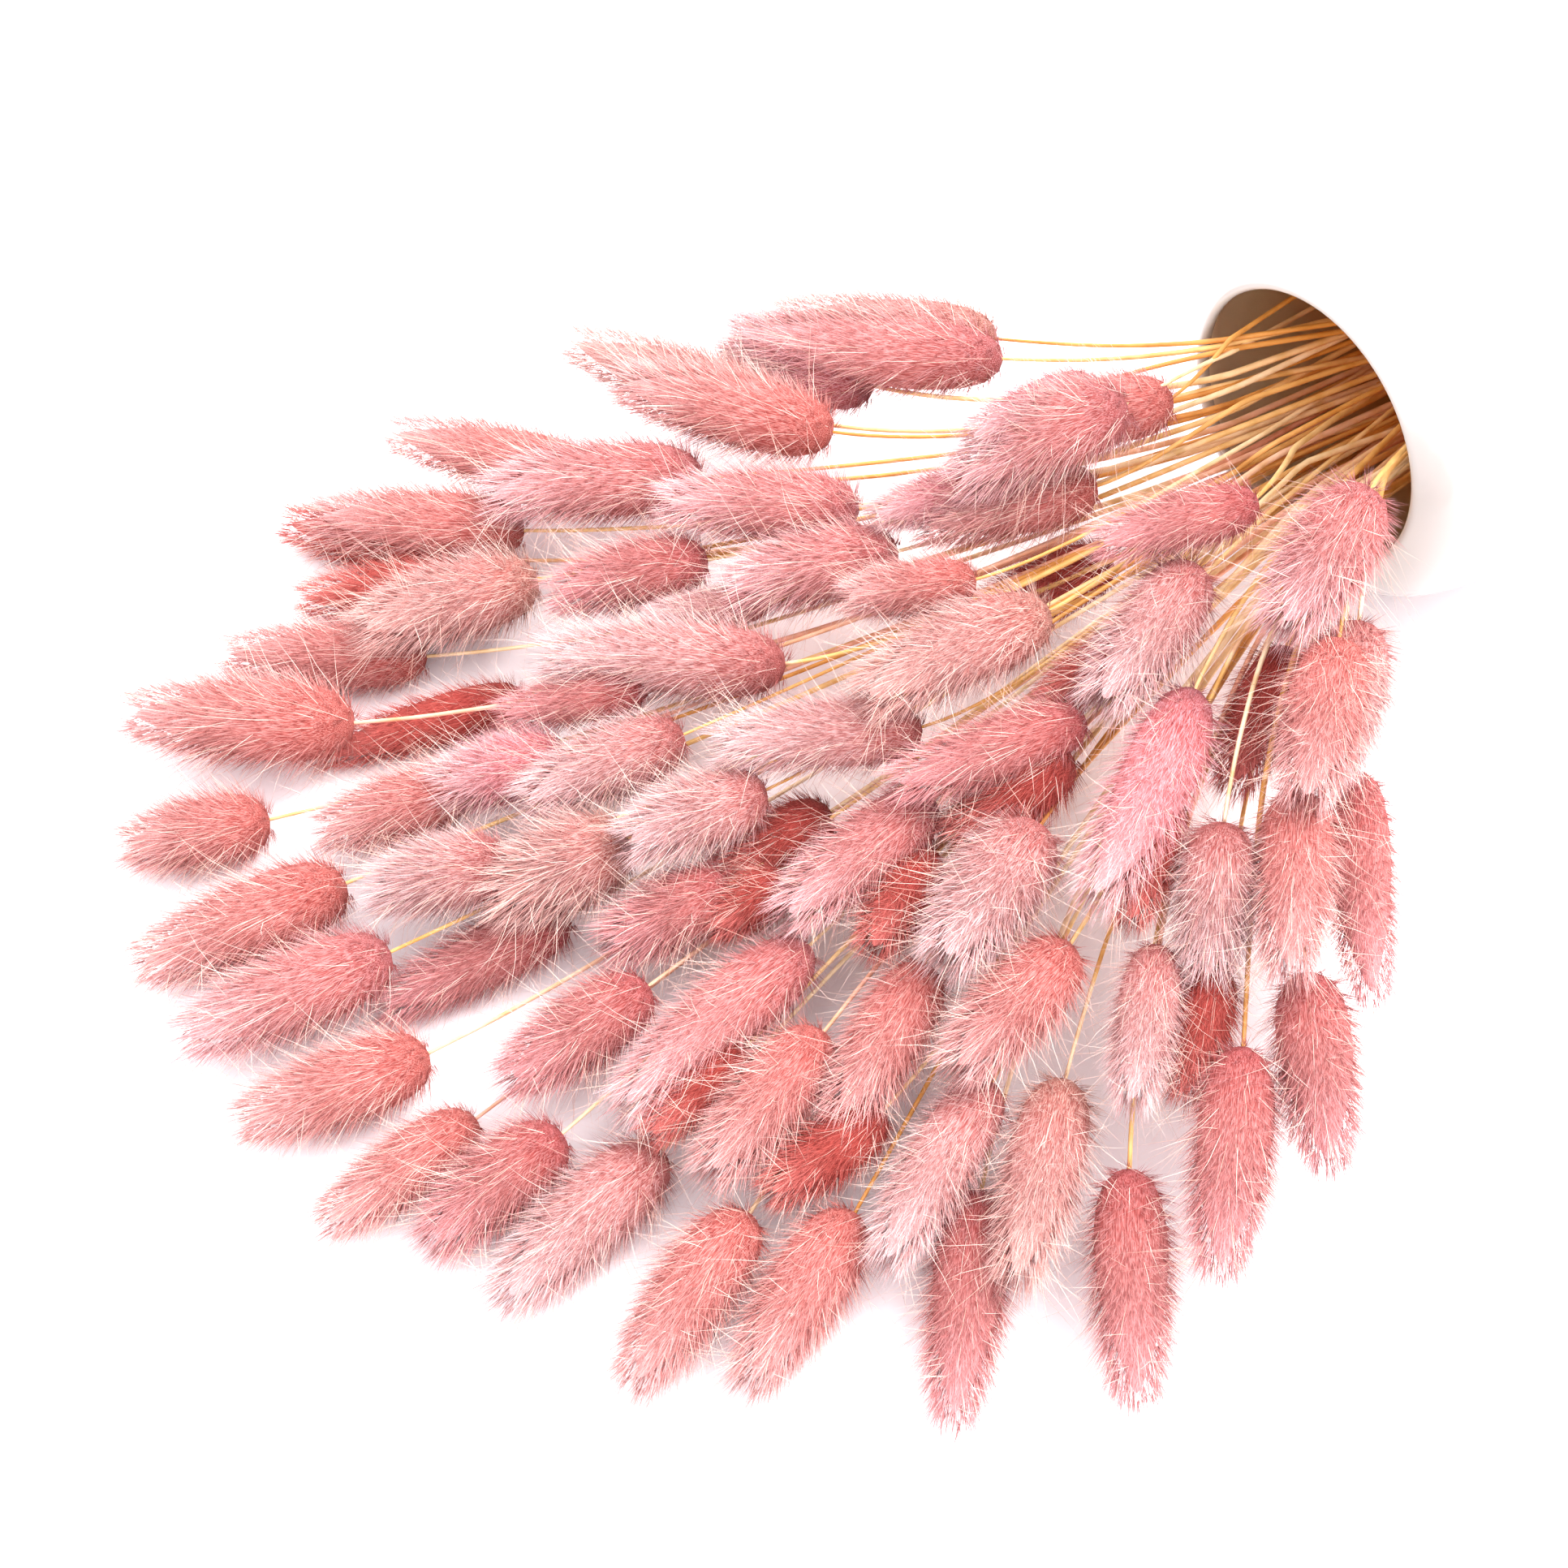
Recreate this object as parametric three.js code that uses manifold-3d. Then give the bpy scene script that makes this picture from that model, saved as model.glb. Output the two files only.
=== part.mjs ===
// A bunch of dried bunny-tail grass: eighty dyed, plush seed heads on thin straw stems, fanned out of the
// mouth of a white glazed vase that lies on its side. Millimetres, +Z up, everything rests on z = 0.
// Heads and stems are placed by pixel readings of the photograph (1932 x 1932), each put on its view ray
// at a height of its own. The heights come from laying the bunch down: whatever the photograph shows in
// front lies clear above what it covers, and nothing sinks into the table.
import * as THREE from 'three';
import { mergeVertices } from 'three/addons/utils/BufferGeometryUtils.js';
import Module from 'manifold-3d';

const wasm = await Module();
wasm.setup();

const degrees = THREE.MathUtils.degToRad;

// The view of the readings: it looks along +Y and down at the table.
const VIEW_DOWN = degrees(55);
const VIEW_ANGLE = degrees(30);
const VIEW_DISTANCE = 685;
const HALF_PHOTO = 966;
const MOUTH_PIXEL = [1650, 550];

// The vase: its mouth's centre, the way its mouth points, and its wall.
const MOUTH_X = 119.3;
const MOUTH_Y = 62;
const MOUTH_Z = 54.1;
const VASE_TURN = degrees(53.5);
const VASE_TILT = degrees(3);
const VASE_SIDES = 30;
const MOUTH_RADIUS = 33;
const LIP_RADIUS = 35.3;
const VASE_LENGTH = 205;
const INSIDE_DEPTH = 198;
const TABLE_BLOCK = [600, 600, 40];
// Radius of the outer face at each distance behind the mouth, from the lip back to the foot.
const VASE_OUTSIDE = [
  [1.2, 37.1], [4, 42.4], [9, 47.6], [16, 50.2], [30, 52], [48, 52.3], [196, 44.5], [203, 41], [205, 36],
];
const VASE_INSIDE = [
  [197, 30], [190, 38.5], [48, 47], [26, 46], [13, 42], [2, MOUTH_RADIUS],
];

// The stems: their thickness, how the bundle fills the mouth, and the sheaf they form inside the vase.
const STEM_RADIUS = 0.95;
const STEM_BENDS = 4;
const STEM_CHECKS = 11;
const NECK_CHECKS = 3;
const NECK_PIXELS = 3;
const STEM_EASE = 0.3;
const BUNDLE_RADIUS = 29.5;
const BUNDLE_SPREAD = 0.92;
const BUNDLE_HEIGHT = 27;
const GATHERING = 0.33;
const SHEAF_START = 150;
const SHEAF_END = 186;
const SHEAF_RADIUS = 9.5;
const SHEAF_FLARE = 12.5;
const SHEAF_COVER = 3;
const SHEAF_GAP = 0.32;
const SEAT_GAP = 0.45;
const MATE_GAP = 0.8;

// The heads: the share of a head's hairy outline that its tufts reach, and its rows of raised tufts.
const TUFT_REACH = 0.9;
const TUFT_VALLEY = 0.73;
const TUFT_LEAN = 0.45;
const TUFT_ROWS = 7;
const TUFT_ROWS_SMALL = 6;
const SMALL_HEAD = 49;
const TUFTS_AROUND = 10;
const TUFT_TWIST = 0.1;
const FIRST_TUFTS = 0.045;
const TUFTED_SHARE = 0.93;
const PLUMP_TO_BASE = 0.65;
const HEAD_CHECKS = [0.05, 0.16, 0.28, 0.4, 0.52, 0.64, 0.76, 0.87, 0.96];

// Laying the bunch down: clearances, and how the pile rises to the mouth.
const CLEAR = 0.7;
const JOINED = 0.62;
const OVERLAPPING = 0.5;
const TABLE_CLEAR = 0.35;
const PILE_HEIGHT = 60;
const PILE_SLOPE = 0.25;
const PILE_EDGE = 11;
const PILE_MIDDLE = 25;
const LOW_HEAD_DROP = 8;
const FRONT_RISE = 2;
const SETTLING = 0.06;
const LEVELLING = 0.05;
const SMOOTHING = 0.3;
const LAYING_STEPS = 220;
const LAST_STEPS = 40;

const TONES = {
  light: 0xf0b3bf,
  pink: 0xe993a6,
  rose: 0xcf6f86,
  salmon: 0xe58a86,
  peach: 0xf0a799,
  mauve: 0xc77f92,
  dark: 0xa94f5e,
};

// Each head: node, root x and y, tip x and y, half width (all in pixels of the photograph), how far in
// front it lies (0 is the lowest), tone, and sideways bow. Heads that grow into each other share a node.
const HEADS = [
  ['heads_01', 1241, 442, 868, 402, 48, 2, 'pink', -8],
  ['heads_01', 1232, 418, 930, 388, 42, 1, 'peach', 0],
  ['heads_01', 1080, 478, 885, 412, 44, 0, 'mauve', 0],
  ['heads_02', 1030, 535, 740, 465, 48, 2, 'salmon', 0],
  ['heads_02', 985, 520, 678, 412, 44, 1, 'peach', 0],
  ['heads_03', 745, 590, 458, 528, 40, 1, 'salmon', 0],
  ['heads_03', 870, 590, 575, 618, 50, 2, 'pink', 10],
  ['head_04', 1062, 630, 795, 622, 46, 2, 'pink', 6],
  ['heads_05', 650, 655, 365, 635, 45, 1, 'salmon', 0],
  ['heads_05', 590, 690, 330, 640, 38, 0, 'dark', 0],
  ['heads_06', 600, 720, 350, 740, 35, 0, 'dark', 0],
  ['heads_06', 665, 715, 425, 785, 48, 1, 'peach', 6],
  ['head_07', 530, 810, 255, 805, 42, 1, 'salmon', 0],
  ['head_08', 440, 893, 133, 878, 55, 2, 'salmon', 0],
  ['head_09', 650, 855, 365, 940, 32, 0, 'dark', 0],
  ['head_10', 335, 1010, 138, 1045, 45, 1, 'salmon', 0],
  ['heads_11', 585, 965, 378, 1030, 42, 1, 'salmon', 0],
  ['heads_11', 700, 930, 520, 975, 42, 1, 'mauve', 0],
  ['heads_12', 800, 846, 600, 884, 30, 0, 'rose', 0],
  ['heads_12', 972, 822, 640, 812, 50, 2, 'light', 6],
  ['head_13', 845, 905, 628, 998, 46, 2, 'light', 4],
  ['head_14', 945, 975, 757, 1045, 48, 2, 'light', 4],
  ['head_15', 1140, 900, 862, 925, 46, 2, 'light', 6],
  ['head_16', 1295, 755, 1045, 872, 55, 3, 'peach', 8],
  ['head_57', 1370, 690, 1200, 760, 38, 0, 'dark', 0],
  ['head_17', 1205, 715, 1025, 738, 36, 2, 'salmon', 0],
  ['head_18', 875, 690, 665, 738, 42, 2, 'rose', 4],
  ['heads_19', 1110, 680, 877, 735, 48, 2, 'pink', 6],
  ['heads_19', 950, 742, 785, 762, 24, 0, 'light', 0],
  ['heads_20', 1392, 497, 1160, 605, 52, 3, 'pink', 6],
  ['heads_20', 1348, 474, 1181, 546, 35, 1, 'mauve', 0],
  ['heads_20', 1447, 497, 1230, 540, 46, 2, 'salmon', 8],
  ['heads_21', 1355, 600, 1117, 655, 45, 2, 'salmon', 4],
  ['heads_21', 1230, 590, 1060, 642, 32, 2, 'mauve', 0],
  ['head_22', 1552, 618, 1335, 675, 40, 3, 'rose', 0],
  ['head_23', 1685, 605, 1572, 785, 62, 4, 'pink', 0],
  ['heads_24', 1475, 700, 1345, 880, 55, 3, 'light', 0],
  ['heads_24', 1400, 790, 1275, 875, 32, 0, 'dark', 0],
  ['heads_25', 1470, 850, 1330, 1130, 52, 2, 'mauve', -10],
  ['heads_25', 1442, 985, 1387, 1150, 34, 0, 'dark', 0],
  ['head_26', 1590, 800, 1510, 985, 40, 0, 'dark', 0],
  ['heads_27', 1675, 770, 1641, 962, 48, 1, 'rose', 0],
  ['heads_27', 1650, 790, 1605, 1003, 52, 2, 'salmon', 0],
  ['head_28', 1600, 975, 1588, 1220, 48, 1, 'salmon', 0],
  ['head_29', 1672, 950, 1697, 1258, 40, 0, 'rose', 6],
  ['head_30', 1610, 1200, 1640, 1455, 50, 1, 'rose', 0],
  ['heads_31', 1508, 1012, 1483, 1222, 50, 2, 'light', 0],
  ['heads_31', 1500, 1190, 1455, 1368, 36, 0, 'dark', 0],
  ['head_32', 1428, 1165, 1390, 1378, 42, 2, 'light', 0],
  ['head_33', 1533, 1290, 1500, 1592, 52, 2, 'rose', 0],
  ['head_34', 1390, 1440, 1402, 1752, 52, 2, 'rose', 0],
  ['head_35', 1207, 1465, 1172, 1776, 50, 1, 'rose', 0],
  ['head_36', 1312, 1330, 1245, 1600, 52, 2, 'peach', 0],
  ['head_37', 1225, 1335, 1080, 1578, 48, 2, 'light', 8],
  ['head_38', 1320, 1165, 1165, 1330, 52, 2, 'salmon', 0],
  ['head_39', 1280, 1020, 1152, 1195, 58, 2, 'light', 0],
  ['heads_40', 1340, 885, 1080, 975, 44, 2, 'rose', 0],
  ['heads_40', 1320, 926, 1160, 1044, 42, 0, 'dark', 0],
  ['heads_41', 1150, 985, 950, 1142, 50, 2, 'pink', 0],
  ['heads_41', 1145, 1050, 1068, 1180, 36, 0, 'dark', 0],
  ['heads_42', 900, 1090, 738, 1170, 46, 1, 'rose', 0],
  ['heads_42', 970, 1080, 870, 1150, 32, 0, 'dark', 0],
  ['heads_42', 1025, 1000, 865, 1090, 38, 0, 'dark', 0],
  ['heads_43', 1000, 1165, 745, 1385, 52, 2, 'pink', 6],
  ['heads_43', 920, 1290, 790, 1410, 36, 2, 'dark', 0],
  ['head_44', 800, 1215, 612, 1340, 48, 1, 'rose', 0],
  ['head_45', 1015, 1272, 862, 1460, 52, 2, 'salmon', 0],
  ['heads_46', 1145, 1190, 1022, 1400, 50, 2, 'salmon', 0],
  ['heads_46', 1090, 1370, 935, 1480, 40, 1, 'dark', 0],
  ['head_47', 925, 1495, 770, 1725, 52, 1, 'salmon', 6],
  ['head_48', 1055, 1495, 915, 1725, 52, 1, 'salmon', 6],
  ['head_49', 818, 1418, 605, 1620, 56, 2, 'light', 6],
  ['head_50', 695, 1397, 518, 1545, 50, 1, 'rose', 6],
  ['head_51', 588, 1378, 382, 1520, 44, 1, 'salmon', 0],
  ['head_52', 532, 1298, 276, 1390, 50, 1, 'salmon', 0],
  ['head_53', 485, 1172, 200, 1290, 54, 2, 'pink', 0],
  ['head_54', 430, 1087, 147, 1198, 53, 1, 'salmon', 0],
  ['head_55', 705, 1127, 445, 1255, 42, 1, 'rose', 0],
  ['heads_56', 775, 1035, 592, 1112, 55, 1, 'peach', 0],
  ['heads_56', 628, 1060, 448, 1100, 46, 1, 'light', 0],
];

// Colours and finish of the vase and the stems.
const VASE_COLOUR = 0xf4f2ee;
const STRAW_COLOUR = 0xdcb372;

const focal = HALF_PHOTO / Math.tan(VIEW_ANGLE / 2);
const eyeY = -VIEW_DISTANCE * Math.cos(VIEW_DOWN);
const eyeZ = VIEW_DISTANCE * Math.sin(VIEW_DOWN);

// How fast a pixel's view ray falls for each millimetre of depth, and the depth at which it is at z.
const rayFall = (py) => (Math.cos(VIEW_DOWN) * (HALF_PHOTO - py)) / focal - Math.sin(VIEW_DOWN);
const depthAt = (py, z) => (z - eyeZ) / rayFall(py);
const pixelsPerMm = (py, z) => focal / depthAt(py, z);

// The point of a pixel's view ray at height z.
function place(px, py, z) {
  const depth = depthAt(py, z);
  const across = (px - HALF_PHOTO) / focal;
  const along = Math.cos(VIEW_DOWN) + (Math.sin(VIEW_DOWN) * (HALF_PHOTO - py)) / focal;
  return new THREE.Vector3(across * depth, eyeY + along * depth, z);
}

// The pixel that a point is seen at.
function seen(point) {
  const dy = point.y - eyeY;
  const dz = point.z - eyeZ;
  const depth = dy * Math.cos(VIEW_DOWN) - dz * Math.sin(VIEW_DOWN);
  const rise = dy * Math.sin(VIEW_DOWN) + dz * Math.cos(VIEW_DOWN);
  return [HALF_PHOTO + (focal * point.x) / depth, HALF_PHOTO - (focal * rise) / depth];
}

// The vase's own directions: out of the mouth, level across it, and up across it.
const mouth = new THREE.Vector3(MOUTH_X, MOUTH_Y, MOUTH_Z);
const outward = new THREE.Vector3(
  -Math.sin(VASE_TURN) * Math.cos(VASE_TILT),
  -Math.cos(VASE_TURN) * Math.cos(VASE_TILT),
  Math.sin(VASE_TILT),
);
const sideways = new THREE.Vector3().crossVectors(outward, new THREE.Vector3(0, 0, 1)).normalize();
const upward = new THREE.Vector3().crossVectors(sideways, outward);

// A point of the vase: across its mouth, up across it, and how deep behind it.
function inVase(across, up, depth) {
  const point = mouth.clone().addScaledVector(sideways, across).addScaledVector(upward, up);
  return point.addScaledVector(outward, -depth);
}

// The vase's inner wall below its axis, flat between two of its sides, and the sheaf's lowest line over it.
const [, [backDepth, backRadius], [frontDepth, frontRadius]] = VASE_INSIDE;
const wallSlope = (frontRadius - backRadius) / (backDepth - frontDepth);
const wallAt = (depth) => (frontRadius - wallSlope * (depth - frontDepth)) * Math.cos(Math.PI / VASE_SIDES);
const floorAt = (depth) => SHEAF_GAP - wallAt(depth);

// Where a stem that enters the mouth across and up from its centre joins the sheaf.
function joinsSheaf([across, up]) {
  const level = floorAt(SHEAF_START) + SHEAF_FLARE + SHEAF_COVER + up * GATHERING;
  return inVase(across * GATHERING, level, SHEAF_START + SHEAF_COVER);
}

// A head's half width along its length, as a share of its widest: round base, slow taper, soft tip.
const plump = (u) => Math.sqrt(Math.sin(Math.PI * u ** PLUMP_TO_BASE));

const heads = HEADS.map(([node, rootX, rootY, tipX, tipY, half, front, tone, bow], index) => {
  const middleY = (rootY + tipY) / 2;
  const length = Math.hypot(tipX - rootX, tipY - rootY);
  const side = [-(tipY - rootY) / length, (tipX - rootX) / length];
  return {
    node,
    tone,
    front,
    index,
    root: [rootX, rootY],
    tip: [tipX, tipY],
    bend: [(rootX + tipX) / 2 + 2 * bow * side[0], middleY + 2 * bow * side[1]],
    rows: half < SMALL_HEAD ? TUFT_ROWS_SMALL : TUFT_ROWS,
    radius: (half * TUFT_REACH) / pixelsPerMm(middleY, PILE_MIDDLE),
    toMouth: Math.hypot(rootX - MOUTH_PIXEL[0], rootY - MOUTH_PIXEL[1]),
    turn: Math.atan2(rootY - MOUTH_PIXEL[1], MOUTH_PIXEL[0] - rootX),
  };
});

// A quadratic curve through three pixels.
function curvePixel(a, b, c, u) {
  const s = 1 - u;
  return [
    s * s * a[0] + 2 * s * u * b[0] + u * u * c[0],
    s * s * a[1] + 2 * s * u * b[1] + u * u * c[1],
  ];
}

// Stems enter the mouth in the order in which their heads fan out, those of far heads at the bottom.
const fan = [...heads].sort((a, b) => a.turn - b.turn);
const farthest = Math.max(...heads.map((head) => head.toMouth));
fan.forEach((head, rank) => {
  const across = BUNDLE_RADIUS * BUNDLE_SPREAD * (1 - (2 * rank) / (fan.length - 1));
  const floor = -Math.sqrt(BUNDLE_RADIUS ** 2 - across ** 2);
  const up = floor + BUNDLE_HEIGHT * (1 - head.toMouth / farthest);
  head.entry = [across, up];
});

// Heights that the laying moves: two for each head, and one for each bend of its stem.
const heights = [];
const held = [];
function height(value, fixed) {
  heights.push(value);
  held.push(fixed);
  return heights.length - 1;
}

// A check point lies on one view ray, at a height between two of the moving heights.
const headChecks = [];
const stemChecks = [];
for (const head of heads) {
  const ground = place(head.root[0], head.root[1], PILE_MIDDLE);
  const away = Math.hypot(ground.x - MOUTH_X, ground.y - MOUTH_Y);
  const drop = head.front === 0 ? LOW_HEAD_DROP : 0;
  head.wanted = Math.max(PILE_EDGE - drop, PILE_HEIGHT - PILE_SLOPE * away - drop, head.radius);
  head.rootHeight = height(head.wanted + FRONT_RISE * head.front, false);
  head.tipHeight = height(head.wanted + FRONT_RISE * head.front, false);
  for (const u of HEAD_CHECKS) {
    const [px, py] = curvePixel(head.root, head.bend, head.tip, u);
    const radius = head.radius * plump(u);
    headChecks.push({ head, px, py, a: head.rootHeight, b: head.tipHeight, share: u, radius });
  }
}

// A stem leaves its head along the head's own line and bends to the mouth.
for (const head of heads) {
  const entry = inVase(head.entry[0], head.entry[1], 0);
  const [entryX, entryY] = seen(entry);
  const [insideX, insideY] = seen(joinsSheaf(head.entry));
  const reach = Math.hypot(entryX - head.root[0], entryY - head.root[1]);
  const headLength = Math.hypot(head.tip[0] - head.root[0], head.tip[1] - head.root[1]);
  const leave = [(head.root[0] - head.tip[0]) / headLength, (head.root[1] - head.tip[1]) / headLength];
  const insideLength = Math.hypot(insideX - entryX, insideY - entryY);
  const arrive = [(insideX - entryX) / insideLength, (insideY - entryY) / insideLength];
  const ease = reach * STEM_EASE;
  const start = [head.root[0] + leave[0] * NECK_PIXELS, head.root[1] + leave[1] * NECK_PIXELS];
  const first = [start[0] + leave[0] * ease, start[1] + leave[1] * ease];
  const second = [entryX - arrive[0] * ease, entryY - arrive[1] * ease];
  head.stations = [{ px: start[0], py: start[1], z: head.rootHeight }];
  for (let k = 1; k < STEM_BENDS; k += 1) {
    const u = k / STEM_BENDS;
    const s = 1 - u;
    const mix = [s * s * s, 3 * s * s * u, 3 * s * u * u, u * u * u];
    const px = mix[0] * start[0] + mix[1] * first[0] + mix[2] * second[0] + mix[3] * entryX;
    const py = mix[0] * start[1] + mix[1] * first[1] + mix[2] * second[1] + mix[3] * entryY;
    head.stations.push({ px, py, z: height(s * head.wanted + u * entry.z, false) });
  }
  head.stations.push({ px: entryX, py: entryY, z: height(entry.z, true) });
  for (let k = 0; k < STEM_BENDS; k += 1) {
    const from = head.stations[k];
    const to = head.stations[k + 1];
    for (let c = 0; c < STEM_CHECKS; c += 1) {
      const share = (c + (k === 0 ? 0.8 : 0.5)) / STEM_CHECKS;
      stemChecks.push({
        head,
        px: from.px + (to.px - from.px) * share,
        py: from.py + (to.py - from.py) * share,
        a: from.z,
        b: to.z,
        share,
        radius: STEM_RADIUS,
        neck: k === 0 && c < NECK_CHECKS,
      });
    }
  }
}

// Which of two heads lies in front: the one read as nearer, or else the one nearer the mouth.
function inFront(one, other) {
  if (one.front !== other.front) {
    return one.front > other.front;
  }
  return one.toMouth < other.toMouth;
}

// Every pair of check points that the view brings close, with the space that it needs.
const pairs = [];
function addPair(front, back, space, bond) {
  const scale = (pixelsPerMm(front.py, PILE_MIDDLE) + pixelsPerMm(back.py, PILE_MIDDLE)) / 2;
  const apart = Math.hypot(front.px - back.px, front.py - back.py) / scale;
  if (apart < space || bond) {
    pairs.push({ front, back, depth: Math.sqrt(Math.max(space * space - apart * apart, 0)), bond });
  }
}
for (let i = 0; i < headChecks.length; i += 1) {
  for (let j = i + 1; j < headChecks.length; j += 1) {
    const one = headChecks[i];
    const other = headChecks[j];
    if (one.head === other.head) {
      continue;
    }
    const [front, back] = inFront(one.head, other.head) ? [one, other] : [other, one];
    const sum = one.radius + other.radius;
    const together = one.head.node === other.head.node;
    addPair(front, back, together ? sum * OVERLAPPING : sum + CLEAR, false);
  }
}
for (const stem of stemChecks) {
  for (const check of headChecks) {
    if (check.head.node === stem.head.node) {
      continue;
    }
    const lone = !heads.some((other) => other.node === check.head.node && other.front > 0);
    if (stem.neck && inFront(stem.head, check.head)) {
      continue;
    }
    const over = stem.head.front > 0 && lone;
    const space = check.radius + stem.radius + CLEAR;
    addPair(over ? stem : check, over ? check : stem, space, false);
  }
}

// Heads of one node are drawn together where they are seen closest, so that they join.
for (const head of heads) {
  const mates = heads.filter((other) => other.node === head.node && other.index < head.index);
  for (const mate of mates.slice(0, 1)) {
    let best = null;
    let least = Infinity;
    for (const one of headChecks.filter((check) => check.head === head)) {
      for (const other of headChecks.filter((check) => check.head === mate)) {
        const scale = pixelsPerMm(one.py, PILE_MIDDLE);
        const share = Math.hypot(one.px - other.px, one.py - other.py) / scale / (one.radius + other.radius);
        if (share < least) {
          least = share;
          best = [one, other];
        }
      }
    }
    const [front, back] = inFront(head, mate) ? best : [best[1], best[0]];
    addPair(front, back, (best[0].radius + best[1].radius) * JOINED, true);
  }
}

const heightOf = (check) => heights[check.a] * (1 - check.share) + heights[check.b] * check.share;

// Raises or lowers a check point by moving the two heights that it hangs on.
function lift(check, amount) {
  const near = held[check.a] ? 0 : 1 - check.share;
  const far = held[check.b] ? 0 : check.share;
  const weight = near * near + far * far;
  if (weight > 0.02) {
    heights[check.a] += (amount * near) / weight;
    heights[check.b] += (amount * far) / weight;
  }
}

for (let step = 0; step < LAYING_STEPS + LAST_STEPS; step += 1) {
  const pull = Math.max(0, 1 - step / LAYING_STEPS);
  for (const head of heads) {
    const middle = (heights[head.rootHeight] + heights[head.tipHeight]) / 2;
    for (const end of [head.rootHeight, head.tipHeight]) {
      heights[end] += pull * (SETTLING * (head.wanted - heights[end]) + LEVELLING * (middle - heights[end]));
    }
    for (let k = 1; k < STEM_BENDS; k += 1) {
      const before = heights[head.stations[k - 1].z];
      const after = heights[head.stations[k + 1].z];
      heights[head.stations[k].z] += SMOOTHING * pull * ((before + after) / 2 - heights[head.stations[k].z]);
    }
  }
  for (const { front, back, depth, bond } of pairs) {
    const gap = depthAt(back.py, heightOf(back)) - depthAt(front.py, heightOf(front));
    const missing = depth - gap;
    if (bond ? missing < 0 : missing > 0) {
      lift(front, -rayFall(front.py) * missing * 0.5);
      lift(back, rayFall(back.py) * missing * 0.5);
    }
  }
  for (const check of [...headChecks, ...stemChecks]) {
    const under = check.radius + TABLE_CLEAR - heightOf(check);
    if (under > 0) {
      lift(check, under);
    }
  }
}

// A head: rings of points along its line, every other point raised and leaned to the tip as a tuft.
function headGeometry(head, extra = 0) {
  const line = new THREE.QuadraticBezierCurve3(
    place(head.root[0], head.root[1], heights[head.rootHeight]),
    place(head.bend[0], head.bend[1], (heights[head.rootHeight] + heights[head.tipHeight]) / 2),
    place(head.tip[0], head.tip[1], heights[head.tipHeight]),
  );
  const points = [];
  const rows = head.rows;
  const spacing = TUFTED_SHARE / rows;
  const ringPoint = (u, turn, radius) => {
    const centre = line.getPoint(u);
    const along = line.getTangent(u);
    const level = new THREE.Vector3(along.y, -along.x, 0).normalize();
    const over = new THREE.Vector3().crossVectors(level, along);
    centre.addScaledVector(level, radius * Math.cos(turn));
    return centre.addScaledVector(over, radius * Math.sin(turn));
  };
  for (let row = 0; row < rows; row += 1) {
    for (let k = 0; k < TUFTS_AROUND; k += 1) {
      const raised = (row + k) % 2 === 0;
      const turn = (2 * Math.PI * k) / TUFTS_AROUND + row * TUFT_TWIST + head.index;
      const at = FIRST_TUFTS + row * spacing + (raised ? spacing * TUFT_LEAN : 0);
      const share = raised ? 1 : TUFT_VALLEY;
      points.push(ringPoint(at, turn, head.radius * plump(at) * share + extra));
    }
  }
  const base = points.push(line.getPoint(0).addScaledVector(line.getTangent(0), -extra)) - 1;
  const tip = points.push(line.getPoint(1).addScaledVector(line.getTangent(1), extra)) - 1;
  const index = [];
  for (let k = 0; k < TUFTS_AROUND; k += 1) {
    const next = (k + 1) % TUFTS_AROUND;
    const last = (rows - 1) * TUFTS_AROUND;
    index.push(base, next, k, tip, last + k, last + next);
    for (let row = 0; row < rows - 1; row += 1) {
      const a = row * TUFTS_AROUND + k;
      const b = row * TUFTS_AROUND + next;
      const c = b + TUFTS_AROUND;
      const d = a + TUFTS_AROUND;
      if ((row + k) % 2 === 0) {
        index.push(a, b, d, b, c, d);
      } else {
        index.push(a, b, c, a, c, d);
      }
    }
  }
  const geometry = new THREE.BufferGeometry().setFromPoints(points);
  geometry.setIndex(index);
  return geometry;
}

// A closed solid for joining and cutting, its faces turned outward.
function solid(geometry) {
  const bare = geometry.clone();
  bare.deleteAttribute('normal');
  bare.deleteAttribute('uv');
  const merged = mergeVertices(bare, 1e-4);
  const vertProperties = new Float32Array(merged.attributes.position.array);
  const triVerts = new Uint32Array(merged.index.array);
  const a = new THREE.Vector3();
  const b = new THREE.Vector3();
  const c = new THREE.Vector3();
  let volume = 0;
  for (let t = 0; t < triVerts.length; t += 3) {
    a.fromArray(vertProperties, triVerts[t] * 3);
    b.fromArray(vertProperties, triVerts[t + 1] * 3);
    c.fromArray(vertProperties, triVerts[t + 2] * 3);
    volume += a.dot(b.cross(c));
  }
  if (volume < 0) {
    for (let t = 0; t < triVerts.length; t += 3) {
      [triVerts[t + 1], triVerts[t + 2]] = [triVerts[t + 2], triVerts[t + 1]];
    }
  }
  return new wasm.Manifold(new wasm.Mesh({ numProp: 3, vertProperties, triVerts }));
}

function geometryOf(manifold) {
  const mesh = manifold.getMesh();
  const geometry = new THREE.BufferGeometry();
  geometry.setAttribute('position', new THREE.BufferAttribute(new Float32Array(mesh.vertProperties), 3));
  geometry.setIndex(new THREE.BufferAttribute(new Uint32Array(mesh.triVerts), 1));
  geometry.computeVertexNormals();
  return geometry;
}

function named(name, manifold, colour, roughness, metalness = 0) {
  const material = new THREE.MeshStandardMaterial({ color: colour, roughness, metalness });
  const mesh = new THREE.Mesh(geometryOf(manifold), material);
  mesh.name = name;
  return mesh;
}

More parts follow.
